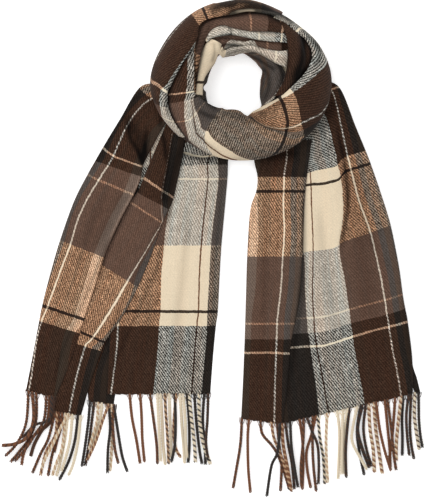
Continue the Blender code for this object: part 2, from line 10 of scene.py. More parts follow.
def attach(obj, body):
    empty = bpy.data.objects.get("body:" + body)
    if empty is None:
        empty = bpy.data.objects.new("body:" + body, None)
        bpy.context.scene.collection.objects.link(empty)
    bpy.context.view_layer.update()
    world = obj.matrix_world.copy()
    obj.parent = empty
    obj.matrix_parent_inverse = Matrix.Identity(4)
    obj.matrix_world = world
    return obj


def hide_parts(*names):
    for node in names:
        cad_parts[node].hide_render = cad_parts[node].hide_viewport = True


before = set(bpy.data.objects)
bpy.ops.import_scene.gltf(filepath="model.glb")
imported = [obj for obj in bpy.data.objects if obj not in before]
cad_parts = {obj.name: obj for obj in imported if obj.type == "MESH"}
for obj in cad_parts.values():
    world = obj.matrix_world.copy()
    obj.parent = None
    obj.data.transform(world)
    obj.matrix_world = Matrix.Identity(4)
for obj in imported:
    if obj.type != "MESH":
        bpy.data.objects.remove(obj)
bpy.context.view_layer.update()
bpy.ops.object.select_all(action="DESELECT")
print("packed model loaded")

view = {
    "mmPerPixel": 1.5, "middleX": 212.0, "middleY": 249.0,   # pixel of the table's origin
    "shiftX": 0.24, "shiftY": 1.14,                          # the part's origin on the table, in mm
    "frameX": 212.5, "frameY": 249.5, "frameHigh": 748.5,    # picture's middle (pixels) and height (mm)
    "lens": 900.0, "sensor": 36.0,
}
cloth = {"thick": 2.2, "warpYarn": 1.0, "weftYarn": 1.32, "rim": 0.45, "lowest": 0.05}
placed = {
    "pointsEach": 5,                       # points of the smooth curve for each point of a crease
    "creaseFade": 0.22,                    # share of a crease over which it fades out at each end
    "lineFade": 0.10, "weftFade": 1.0,     # how far a line of the check counts beyond its ends, of the piece
    "leastCell": 0.05, "roundings": 12,    # smallest cell that a line is placed in (mm2), softening of corners
    "lightest": -0.6, "darkest": 0.94,     # limits of the painted shade
}
white = (1, 1, 1, 1)


# small helpers

def spot(px, py):
    # a pixel of the photo's frame as a place on the table, in mm
    return view["mmPerPixel"] * (px - view["middleX"]), view["mmPerPixel"] * (view["middleY"] - py)


def partPlace(x, y, z=0.0):
    # a place on the table, in mm, as the part's own place in metres
    return (x - view["shiftX"]) / 1000, (y - view["shiftY"]) / 1000, z / 1000


def ease(t):
    t = np.clip(t, 0.0, 1.0)
    return t * t * (3 - 2 * t)


def curveBetween(p0, p1, p2, p3, t):
    # the smooth curve through four points, from the second (t = 0) to the third (t = 1)
    return 0.5 * (2 * p1 + (p2 - p0) * t + (2 * p0 - 5 * p1 + 4 * p2 - p3) * t**2
                  + (3 * p1 - p0 - 3 * p2 + p3) * t**3)


def smoothRows(rows, count):
    # count rows spread evenly along the smooth curve through the rows of a table
    rows = np.array(rows, float)
    last = len(rows) - 1
    place = np.linspace(0, last, count)
    k = np.minimum(place.astype(int), last - 1)
    return curveBetween(*(rows[np.clip(k + n, 0, last)] for n in (-1, 0, 1, 2)), (place - k)[:, None])


def arcLength(points, axis=0):
    # distance run along a line, or along the rows (axis 1) or columns (axis 0) of a grid
    steps = np.linalg.norm(np.diff(points, axis=axis), axis=-1)
    return np.insert(np.cumsum(steps, axis=axis), 0, 0, axis=axis)


def creaseHeight(x, y, creases):
    # soft ridges (or troughs, if negative) along given lines: height, half width, points
    total = np.zeros_like(x)
    for height, halfWidth, points in creases:
        line = smoothRows([spot(*p) for p in points], placed["pointsEach"] * len(points))
        nearest = np.full(x.shape, 1e9)
        along = np.zeros_like(x)
        for k in range(len(line) - 1):
            (ax, ay), (bx, by) = line[k], line[k + 1]
            ux, uy = bx - ax, by - ay
            t = np.clip(((x - ax) * ux + (y - ay) * uy) / (ux * ux + uy * uy), 0, 1)
            away = np.hypot(x - ax - t * ux, y - ay - t * uy)
            closer = away < nearest
            nearest = np.where(closer, away, nearest)
            along = np.where(closer, (k + t) / (len(line) - 1), along)
        fade = ease(np.minimum(along, 1 - along) / placed["creaseFade"])
        total += height * fade * np.exp(-(nearest / halfWidth) ** 2)
    return total


def gridPlace(px, py, xs, ys):
    # fractional row and column of a grid at a pixel
    x, y = spot(px, py)
    rows, columns = xs.shape
    i, j = np.unravel_index(np.argmin((xs - x) ** 2 + (ys - y) ** 2), xs.shape)
    a, b = min(max(i, 1), rows - 2), min(max(j, 1), columns - 2)
    alongX, alongY = (xs[a + 1, b] - xs[a - 1, b]) / 2, (ys[a + 1, b] - ys[a - 1, b]) / 2
    acrossX, acrossY = (xs[a, b + 1] - xs[a, b - 1]) / 2, (ys[a, b + 1] - ys[a, b - 1]) / 2
    size = alongX * acrossY - alongY * acrossX
    if abs(size) < placed["leastCell"]:
        return float(i), float(j)
    dx, dy = x - xs[i, j], y - ys[i, j]
    di = (dx * acrossY - dy * acrossX) / size
    dj = (alongX * dy - alongY * dx) / size
    return i + float(np.clip(di, -1, 1)), j + float(np.clip(dj, -1, 1))


def spreadOver(arc, places, values, slope):
    # values at given lines, carried on at the cloth's own scale beyond them
    order = np.argsort(places)
    a, v = np.array(places)[order], np.array(values)[order]
    result = np.interp(arc, a, v)
    result = np.where(arc < a[0], v[0] + (arc - a[0]) * slope, result)
    return np.where(arc > a[-1], v[-1] + (arc - a[-1]) * slope, result)


def rounded(values):
    # the corners of a placed line, softened
    for _ in range(placed["roundings"]):
        values = np.concatenate([values[:1], (values[:-2] + 2 * values[1:-1] + values[2:]) / 4, values[-1:]])
    return values


def traced(lines, key, xs, ys, fade):
    # each line's place, value and weight for every row (key 0) or column (key 1) of a grid
    result = []
    spread = np.arange(xs.shape[key])
    for value, line in lines:
        found = [gridPlace(px, py, xs, ys) for px, py in line]
        values = value if isinstance(value, tuple) else [value] * len(found)
        keys, places, values = zip(*sorted((place[key], place[1 - key], v) for place, v in zip(found, values)))
        outside = np.maximum(np.maximum(keys[0] - spread, spread - keys[-1]), 0)
        result.append((rounded(np.interp(spread, keys, places)), np.interp(spread, keys, values),
                       1 - ease(outside / (fade * len(spread)))))
    return result


def valuesAlong(arc, lines, k, slope):
    # one row's values; a line fades out softly beyond its own ends
    places = [np.interp(place[k], np.arange(len(arc)), arc) for place, _, _ in lines]
    values, weights = [value[k] for _, value, _ in lines], [weight[k] for _, _, weight in lines]
    used, result = [], None
    for m in sorted(range(len(lines)), key=lambda m: -weights[m]):
        if used and weights[m] <= 0:
            break
        used.append(m)
        spread = spreadOver(arc, [places[n] for n in used], [values[n] for n in used], slope)
        result = spread if result is None or weights[m] > 0.999 else result + weights[m] * (spread - result)
    return result


def clothCoordinates(points, spec):
    # where each point of a grid lies on the check (u across the warp, v along it) and on the
    # yarns at their true size, all in mm
    rows, columns = points.shape[:2]
    x, y = points[..., 0], points[..., 1]
    across, along = arcLength(points, 1), arcLength(points, 0)
    warp = traced(spec["warp"], 0, x, y, spec.get("lineFade", placed["lineFade"]))
    weft = traced(spec["weft"], 1, x, y, placed["weftFade"])
    u = np.array([valuesAlong(across[i], warp, i, spec.get("uSlope", 1)) for i in range(rows)])
    v = np.array([valuesAlong(along[:, j], weft, j, spec.get("vSlope", 1)) for j in range(columns)]).T
    yarnU = across - across[:, columns // 2:columns // 2 + 1]
    yarnV = -np.repeat(along.mean(axis=1, keepdims=True), columns, axis=1)
    if "twillFrom" in spec:
        # a sheared stretch, whose twill keeps its own direction on the table
        start, turn = spec["twillFrom"]
        yarnU = np.where(u > start, x * math.cos(turn) + y * math.sin(turn), yarnU)
        yarnV = np.where(u > start, y * math.cos(turn) - x * math.sin(turn), yarnV)
    return u, v, yarnU, yarnV


def gridNormals(points):
    # outward directions of a grid, as seen from above
    normals = np.cross(np.gradient(points, axis=0), np.gradient(points, axis=1))
    return normals / np.maximum(np.linalg.norm(normals, axis=2, keepdims=True), 1e-9)


def addPiece(name, places, faces):
    # a smooth mesh from places on the table, in mm; its object sits at the part's origin
    mesh = bpy.data.meshes.new(name)
    mesh.from_pydata([partPlace(*p) for p in places], [], faces)
    mesh.shade_smooth()
    piece = bpy.data.objects.new(name, mesh)
    bpy.context.scene.collection.objects.link(piece)
    return piece


def addCoordinates(mesh, layerName, across, along):
    # coordinates in mm for every vertex, kept in metres
    layer = mesh.uv_layers.new(name=layerName)
    both = np.stack([across, along], axis=1) / 1000
    loops = np.zeros(len(mesh.loops), int)
    mesh.loops.foreach_get("vertex_index", loops)
    layer.data.foreach_set("uv", both[loops].reshape(-1).astype(np.float32))


def addSheet(name, points, coordinates, paintedShade):
    # a closed wall of cloth under a grid of points, with a softly rounded rim; paintedShade is the shade painted
    # into each point's colour (0 to 1), or a painted highlight (below 0)
    normals = gridNormals(points)
    rows, columns = points.shape[:2]
    upper, lower = points.copy(), points - normals * cloth["thick"]
    edge = np.ones((rows, columns), bool)
    edge[1:-1, 1:-1] = False
    upper[edge] -= normals[edge] * cloth["rim"]
    lower[edge] += normals[edge] * cloth["rim"]
    lower[..., 2] = np.maximum(lower[..., 2], cloth["lowest"])
    under = rows * columns
    index = np.arange(under).reshape(rows, columns)
    top = np.stack([index[:-1, :-1], index[1:, :-1], index[1:, 1:], index[:-1, 1:]], axis=-1).reshape(-1, 4).tolist()
    faces = top + [[k + under for k in reversed(face)] for face in top]
    rim = [*index[0], *index[1:, -1], *index[-1, -2::-1], *index[-2:0:-1, 0]]
    faces += [[int(p), int(q), int(q) + under, int(p) + under] for p, q in zip(rim, rim[1:] + rim[:1])]
    piece = addPiece(name, [*upper.reshape(-1, 3), *lower.reshape(-1, 3)], faces)
    u, v, yarnU, yarnV = (np.tile(values.reshape(-1), 2) for values in coordinates)
    addCoordinates(piece.data, "cloth", u, v)
    addCoordinates(piece.data, "yarn", yarnU, yarnV)
    painted_shade = piece.data.attributes.new("painted_shade", "FLOAT", "POINT")
    painted_shade.data.foreach_set("value", np.tile(paintedShade.reshape(-1), 2).astype(np.float32))
    piece.data.materials.append(plaid)
    return piece


# materials

weave = {
    # warp stripes across the cloth: where each starts (mm) and its yarn
    "warp": ((-60, "brown"), (0, "grey"), (15, "brown"), (51, "line"), (54, "brown"), (64, "coal"),
             (73, "dull"), (82, "coal"), (129, "cream"), (144, "thread"), (147, "cream"), (204, "brown"),
             (264, "line"), (267, "brown"), (277, "coal"), (286, "dull"), (294, "coal"), (342, "cream"),
             (357, "thread"), (360, "cream"), (417, "brown"), (477, "line"), (480, "brown"), (492, "coal")),
    "warpStart": -60.0, "warpWide": 600.0, "hiddenFrom": 240.0,
    # weft bands along one repeat: where each starts (mm) and its band
    "weft": ((0, "dark"), (102, "bright"), (105, "dark"), (121.5, "mid"), (142.6, "thin"), (145.6, "mid"),
             (246, "tan"), (343, "black"), (347, "tan")),
    "weftRepeat": 366.0,
    # where each warp crosses each weft: the colour (0 to 255), and how much lighter the weft is
    # than the mean of the two (-1 to 1); a row for each weft band, a column for each warp yarn
    "yarns": ("brown", "coal", "cream", "line", "thread", "grey", "dull"),
    "bands": {
        "dark": ((61, 42, 31, 0.42), (38, 33, 29, 0.36), (142, 136, 125, -0.95), (166, 155, 142, -0.75),
                 (50, 36, 28, 0.2), (60, 49, 40, 0.25), (48, 39, 32, 0.2)),
        "mid": ((97, 75, 63, 0.26), (82, 75, 70, 0.26), (185, 177, 163, -0.4), (204, 190, 172, -0.25),
                (88, 62, 48, 0.15), (112, 96, 85, 0.2), (88, 74, 64, 0.2)),
        "tan": ((154, 118, 90, 0.68), (118, 104, 90, 0.8), (237, 221, 192, 0.02), (246, 228, 200, 0.0),
                (118, 82, 58, 0.25), (203, 170, 140, 0.5), (138, 112, 90, 0.8)),
        "bright": ((174, 140, 114, 0.35), (158, 146, 130, 0.4), (238, 228, 202, 0.0),
                   (244, 230, 208, 0.0), (140, 114, 92, 0.2), (190, 166, 142, 0.3),
                   (166, 142, 122, 0.3)),
        "thin": ((148, 114, 92, 0.45), (116, 102, 90, 0.4), (226, 216, 194, 0.05), (236, 222, 200, 0.0),
                 (120, 92, 74, 0.2), (172, 146, 124, 0.4), (136, 110, 92, 0.4)),
        "black": ((46, 34, 28, 0.1), (38, 33, 30, 0.1), (66, 56, 46, 0.2), (170, 148, 124, 0.2),
                  (44, 35, 30, 0.1), (58, 48, 41, 0.1), (44, 36, 31, 0.1)),
    },
    "lift": 0.90,
    # how far noise pushes the check and the yarns: its scale, its detail, and the reach in metres
    "wander": (150.0, 4.0, 0.0024), "ragged": (420.0, 2.0, 0.0034),
    # streaks from yarn to yarn: how fine (a mm) across and along, detail, strength
    "warpStreak": (0.42, 0.006, 3.0, 0.50), "weftStreak": (0.40, 0.008, 3.0, 0.28),
    "warpTint": (0.13, 0.004, 1.0, 2.4), "redder": (1.07, 0.985, 0.94, 1), "greyer": (0.94, 1.0, 1.035, 1),
    # fuzz and clouds: scale, detail, strength; and how far single stitches differ
    "fuzz": (520.0, 3.0, 2.1), "cloud": (60.0, 3.0, 0.40), "stitch": 0.50,
    # plain crossings, such as cream on cream, are smoother than mixed ones: factor, least, most
    "mixed": (2.2, 0.16, 1.45),
    "darkYarn": (1.07, 0.99, 0.92, 1), "lightYarn": (0.955, 1.005, 1.07, 1),
    "fuzzBump": 0.8, "bump": (0.5, 0.0004),     # strength and depth in metres
    "finish": {"Roughness": 0.95, "Specular IOR Level": 0.06, "Sheen Weight": 0.04, "Sheen Roughness": 0.55},
}
yarnLook = {
    # slant of the fibres (turns along and round the yarn), fuzz (scale, detail)
    "twist": (9000.0, 4200.0), "fuzz": (700.0, 3.0), "bump": (0.6, 0.0003),
    "finish": {"Roughness": 0.88, "Specular IOR Level": 0.2, "Sheen Weight": 0.15, "Sheen Roughness": 0.5},
    # two near shades of each yarn
    "shades": {"b": ("copperYarn", (92, 54, 34), (138, 90, 60)), "n": ("umberYarn", (58, 37, 27), (92, 62, 45)),
               "k": ("coalYarn", (34, 29, 27), (58, 50, 46)), "c": ("creamYarn", (214, 198, 170), (240, 228, 206)),
               "t": ("tanYarn", (176, 140, 106), (210, 178, 144))},
}


def linear(colour):
    # screen colour (0 to 255) to the light it stands for
    return tuple(c / 255 / 12.92 if c <= 10 else ((c / 255 + 0.055) / 1.055) ** 2.4 for c in colour[:3])


class Nodes:
    # short ways to add and join shader nodes
    def __init__(self, name):
        self.material = bpy.data.materials.new(name)
        self.material.use_nodes = True
        self.tree = self.material.node_tree
        self.shader = self.tree.nodes["Principled BSDF"]

    def add(self, kind, settings=(), **inputs):
        # inputs go by socket name, or by number as i0, i1 and so on
        node = self.tree.nodes.new(kind)
        for key, value in dict(settings).items():
            setattr(node, key, value)
        for key, value in inputs.items():
            socket = node.inputs[int(key[1:])] if key[0] == "i" and key[1:].isdigit() else node.inputs[key]
            if isinstance(value, bpy.types.NodeSocket):
                self.tree.links.new(value, socket)
            else:
                socket.default_value = value
        return node

    def calc(self, operation, a, b=0.0, c=0.0):
        return self.add("ShaderNodeMath", {"operation": operation}, i0=a, i1=b, i2=c).outputs[0]

    def vector(self, operation, a, b):
        return self.add("ShaderNodeVectorMath", {"operation": operation}, i0=a, i1=b).outputs[0]

    def scaled(self, a, scale):
        return self.add("ShaderNodeVectorMath", {"operation": "SCALE"}, i0=a, Scale=scale).outputs[0]

    def noise(self, place, scale, detail, dimensions="3D"):
        return self.add("ShaderNodeTexNoise", {"noise_dimensions": dimensions}, Vector=place, Scale=scale,
                        Detail=detail)

    def pushed(self, place, by, scale, detail, reach):
        # a place pushed about by noise
        push = self.vector("SUBTRACT", self.noise(by, scale, detail).outputs["Color"], (0.5, 0.5, 0.5))
        return self.vector("ADD", place, self.scaled(push, reach))

    def flatPlace(self, x, y):
        return self.add("ShaderNodeCombineXYZ", X=x, Y=y).outputs[0]

    def streaks(self, x, y, fineX, fineY, detail):
        place = self.flatPlace(self.calc("MULTIPLY", x, fineX), self.calc("MULTIPLY", y, fineY))
        return self.noise(place, 1.0, detail, "2D").outputs[0]

    def mix(self, factor, a, b):
        return self.add("ShaderNodeMix", {"data_type": "RGBA"}, i0=factor, i6=a, i7=b).outputs[2]

    def blend(self, factor, a, b):
        return self.add("ShaderNodeMix", i0=factor, i2=a, i3=b).outputs[0]

    def ramp(self, factor, stops):
        node = self.add("ShaderNodeValToRGB", i0=factor)
        node.color_ramp.interpolation = "CONSTANT"
        elements = node.color_ramp.elements
        elements[0].position, elements[0].color = stops[0]
        elements[1].position, elements[1].color = stops[1]
        for position, colour in stops[2:]:
            elements.new(position).color = colour
        return node.outputs[0], node.outputs[1]

    def finish(self, colour, bump, height, settings):
        self.tree.links.new(colour, self.shader.inputs["Base Color"])
        relief = self.add("ShaderNodeBump", Strength=bump[0], Distance=bump[1], Height=height).outputs[0]
        self.tree.links.new(relief, self.shader.inputs["Normal"])
        for socket, value in settings.items():
            self.shader.inputs[socket].default_value = value
        return self.material


def twillMaterial(name, fromObject=False):
    # checked twill; the check follows the piece's own coordinates on the cloth
    n = Nodes(name)
    if fromObject:
        checkPlace = yarnPlace = n.add("ShaderNodeTexCoord").outputs["Object"]
    else:
        checkPlace = n.add("ShaderNodeUVMap", {"uv_map": "cloth"}).outputs[0]
        yarnPlace = n.add("ShaderNodeUVMap", {"uv_map": "yarn"}).outputs[0]
    check = n.add("ShaderNodeSeparateXYZ", i0=n.pushed(checkPlace, yarnPlace, *weave["wander"])).outputs
    u, v = n.calc("MULTIPLY", check[0], 1000.0), n.calc("MULTIPLY", check[1], 1000.0)
    if fromObject:
        u = n.calc("ADD", u, weave["hiddenFrom"])
    place = n.pushed(yarnPlace, yarnPlace, *weave["ragged"])
    yarn = n.add("ShaderNodeSeparateXYZ", i0=place).outputs
    warpCount = n.calc("MULTIPLY", yarn[0], 1000.0 / cloth["warpYarn"])
    weftCount = n.calc("MULTIPLY", yarn[1], 1000.0 / cloth["weftYarn"])
    # 2/2 twill: 1 where the weft lies on top
    warpNumber, weftNumber = n.calc("FLOOR", warpCount), n.calc("FLOOR", weftCount)
    over = n.calc("LESS_THAN", n.calc("FLOORED_MODULO", n.calc("ADD", warpNumber, weftNumber), 4.0), 2.0)
    toWarp = n.calc("DIVIDE", n.calc("SUBTRACT", u, weave["warpStart"]), weave["warpWide"])
    toWeft = n.calc("DIVIDE", n.calc("FLOORED_MODULO", v, weave["weftRepeat"]), weave["weftRepeat"])

    def acrossWarp(band):
        # colour and, in the alpha, contrast (0.5 is none) of every warp in a band
        crossings = ((start, weave["bands"][band][weave["yarns"].index(yarn)]) for start, yarn in weave["warp"])
        return n.ramp(toWarp, [((start - weave["warpStart"]) / weave["warpWide"],
                                (*linear(crossing), 0.5 + 0.5 * crossing[3])) for start, crossing in crossings])

    colour, contrast = acrossWarp("dark")
    for band in ("mid", "tan", "bright", "thin", "black"):
        bandColour, bandContrast = acrossWarp(band)
        here = n.ramp(toWeft, [(start / weave["weftRepeat"], white if other == band else (0, 0, 0, 1))
                               for start, other in weave["weft"]])[0]
        colour, contrast = n.mix(here, colour, bandColour), n.blend(here, contrast, bandContrast)
    contrast = n.calc("MULTIPLY_ADD", contrast, 2.0, -1.0)
    lighter = n.calc("MULTIPLY", contrast, n.calc("MULTIPLY_ADD", over, 2.0, -1.0))
    shade = n.calc("ADD", lighter, 1.0)
    factor, least, most = weave["mixed"]
    rough = n.calc("MULTIPLY", n.calc("ABSOLUTE", contrast), factor)
    rough = n.calc("MINIMUM", n.calc("MAXIMUM", rough, least), most)
    fuzz = n.noise(place, *weave["fuzz"][:2]).outputs[0]
    stitch = n.add("ShaderNodeTexWhiteNoise", {"noise_dimensions": "2D"}, Vector=n.flatPlace(warpNumber, weftNumber))
    for speckle, amount in ((n.streaks(u, v, *weave["warpStreak"][:3]), weave["warpStreak"][3]),
                            (n.streaks(v, u, *weave["weftStreak"][:3]), weave["weftStreak"][3]),
                            (fuzz, weave["fuzz"][2]),
                            (n.noise(place, *weave["cloud"][:2]).outputs[0], weave["cloud"][2]),
                            (stitch.outputs[0], weave["stitch"])):
        speckle = n.calc("MULTIPLY", n.calc("SUBTRACT", speckle, 0.5), rough)
        shade = n.calc("MULTIPLY", shade, n.calc("MULTIPLY_ADD", speckle, amount, 1.0))
    # painted shade: the sheet's attribute darkens the colour, and lightens it as a painted highlight below 0
    painted_shade = n.add("ShaderNodeAttribute", {"attribute_name": "painted_shade"}).outputs["Fac"]
    shade = n.calc("MULTIPLY", n.calc("MULTIPLY", shade, weave["lift"]), n.calc("SUBTRACT", 1.0, painted_shade))
    # redder and greyer warps, and a warmer tint on the darker yarn of the two
    tint = n.calc("SUBTRACT", n.streaks(u, v, *weave["warpTint"][:3]), 0.5)
    tint = n.calc("MULTIPLY_ADD", n.calc("MULTIPLY", tint, n.calc("MINIMUM", rough, 1.0)), weave["warpTint"][3], 0.5)
    colour = n.vector("MULTIPLY", colour, n.mix(tint, weave["redder"], weave["greyer"]))
    light = n.calc("MULTIPLY_ADD", lighter, 0.5, 0.5)
    colour = n.vector("MULTIPLY", colour, n.mix(light, weave["darkYarn"], weave["lightYarn"]))
    # each yarn stands up a little over the one that it crosses
    warpRound = n.calc("ABSOLUTE", n.calc("SUBTRACT", n.calc("FRACT", warpCount), 0.5))
    weftRound = n.calc("ABSOLUTE", n.calc("SUBTRACT", n.calc("FRACT", weftCount), 0.5))
    height = n.calc("SUBTRACT", n.calc("MULTIPLY", fuzz, weave["fuzzBump"]), n.blend(over, warpRound, weftRound))
    return n.finish(n.scaled(colour, shade), weave["bump"], height, weave["finish"])


def yarnMaterial(name, colour, second):
    # twisted yarn: fine slanting fibres in two near shades
    n = Nodes(name)
    place = n.add("ShaderNodeSeparateXYZ", i0=n.add("ShaderNodeUVMap", {"uv_map": "cloth"}).outputs[0]).outputs
    slant = n.calc("ADD", *(n.calc("MULTIPLY", place[k], yarnLook["twist"][k]) for k in (0, 1)))
    fibre = n.calc("MULTIPLY_ADD", n.calc("SINE", slant), 0.5, 0.5)
    fuzz = n.noise(n.add("ShaderNodeTexCoord").outputs["Object"], *yarnLook["fuzz"]).outputs[0]
    both = n.calc("MULTIPLY", n.calc("ADD", fibre, fuzz), 0.5)
    mixed = n.mix(both, (*linear(colour), 1), (*linear(second), 1))
    return n.finish(mixed, yarnLook["bump"], both, yarnLook["finish"])


plaid = twillMaterial("checkedTwill")
hiddenPlaid = twillMaterial("hiddenTwill", fromObject=True)
yarns = {key: yarnMaterial(*shades) for key, shades in yarnLook["shades"].items()}
print("materials made")


def dress(name, spec, surface):
    # a stretch of cloth in place of its CAD node
    # painted shade along the dark lines, and a painted highlight where a strength is below 0
    paintedShade = creaseHeight(surface[..., 0], surface[..., 1], spec.get("dark", ()))
    paintedShade = np.clip(paintedShade, placed["lightest"], placed["darkest"])
    if "shadeHeights" in spec:
        # the painted shade on an outer wall fades in from the first height up to the second, and keeps a share below
        low, high, least = spec["shadeHeights"]
        paintedShade *= np.clip((surface[..., 2] - low) / (high - low), least, 1)
    piece = addSheet(name + "_cloth", surface, clothCoordinates(surface, spec), paintedShade)
    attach(piece, "root")
    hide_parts(name)


# the ring

ring = {
    # the ring's middle, the height of the tube's middle, the tube's rise over it, the gap over the
    # hidden layers, the height of one level, and how far across the tube a place is read
    "centre": (36.0, 249.0), "floor": 12.0, "crown": 29.0, "rest": 1.1, "step": 3.1, "reach": 1.06,
    # angle, radius of the hidden layers on the hole side and on the outer side
    "tube": ((0, 43, 119.5), (30, 48, 110), (60, 50, 102), (90, 53, 98), (120, 54, 96), (150, 48, 96.5),
             (180, 49, 101.5), (210, 56, 97), (240, 64, 92.5), (270, 62, 94.5), (300, 72, 101),
             (330, 48, 113.5)),
    # share of a stretch that lies flat at its ends and over which it swells from there, and how
    # full the swell is; limits of the tuck, in mm and as a share of the width
    "endFlat": 0.05, "endFade": 0.14, "swell": 0.8, "tuckLeast": 0.8, "tuckClear": 4.0, "tuckShare": 0.3,
}


def tubeAt(angle):
    # radius of the tube's middle, and half its width
    table = np.array(ring["tube"], float)
    place = np.degrees(angle) % 360 / 360 * len(table)
    k = np.floor(place).astype(int)
    both = curveBetween(*(table[(k + n) % len(table)][..., 1:] for n in (-1, 0, 1, 2)), (place - k)[..., None])
    return (both[..., 0] + both[..., 1]) / 2, (both[..., 1] - both[..., 0]) / 2


def ringPoint(angle, turn, off):
    # turn is 0 at the tube's outer side and pi at the hole
    middle, half = tubeAt(angle)
    radius = middle + (half + off) * np.cos(turn)
    return np.stack([ring["centre"][0] + radius * np.cos(angle), ring["centre"][1] + radius * np.sin(angle),
                     ring["floor"] + (ring["crown"] + off) * np.sin(turn)], axis=-1)


def ringPlace(x, y, off):
    # angle and turn of a place on the table
    dx, dy = x - ring["centre"][0], y - ring["centre"][1]
    angle = np.arctan2(dy, dx)
    middle, half = tubeAt(angle)
    across = (np.hypot(dx, dy) - middle) / (half + off) * ring["reach"]
    return angle, np.arccos(np.clip(across, -1, 1))


def ringStretch(spec):
    # the stretch's outer surface: rows along the cloth, columns from the hole side outwards
    off = ring["rest"] + spec["level"] * ring["step"]
    top = off + cloth["thick"]
    rows = smoothRows([row if len(row) > 4 else (*row, spec["tuck"]) for row in spec["rows"]], spec["along"])
    share = np.arange(spec["along"]) / (spec["along"] - 1)
    puff = spec["puff"] * ease((np.minimum(share, 1 - share) - ring["endFlat"]) / ring["endFade"])
    angleA, turnA = ringPlace(rows[:, 0], rows[:, 1], top)
    angleB, turnB = ringPlace(rows[:, 2], rows[:, 3], top)
    angleB = np.where(angleB - angleA > math.pi, angleB - 2 * math.pi, angleB)
    angleB = np.where(angleB - angleA < -math.pi, angleB + 2 * math.pi, angleB)
    arc = np.maximum(1.0, np.abs(turnA - turnB) * (tubeAt(angleA)[1] + off))
    # the outer edge is tucked in under the next layer
    clear = np.minimum(ring["tuckShare"], np.minimum(rows[:, 4], ring["tuckClear"]) / arc)
    reach = 1 + np.maximum(rows[:, 4], ring["tuckLeast"]) / arc
    t = np.linspace(0, 1, spec["across"])[None, :] * reach[:, None]
    rise = np.sin(math.pi * np.clip(t / (1 - clear[:, None]), 0, 1)) ** ring["swell"] * puff[:, None]
    angle = angleA[:, None] + (angleB - angleA)[:, None] * t
    turn = np.clip(turnA[:, None] + (turnB - turnA)[:, None] * t, 0, math.pi)
    flat = ringPoint(angle, turn, top)
    rise = rise + creaseHeight(flat[..., 0], flat[..., 1], spec.get("creases", ()))
    return ringPoint(angle, turn, top + rise)


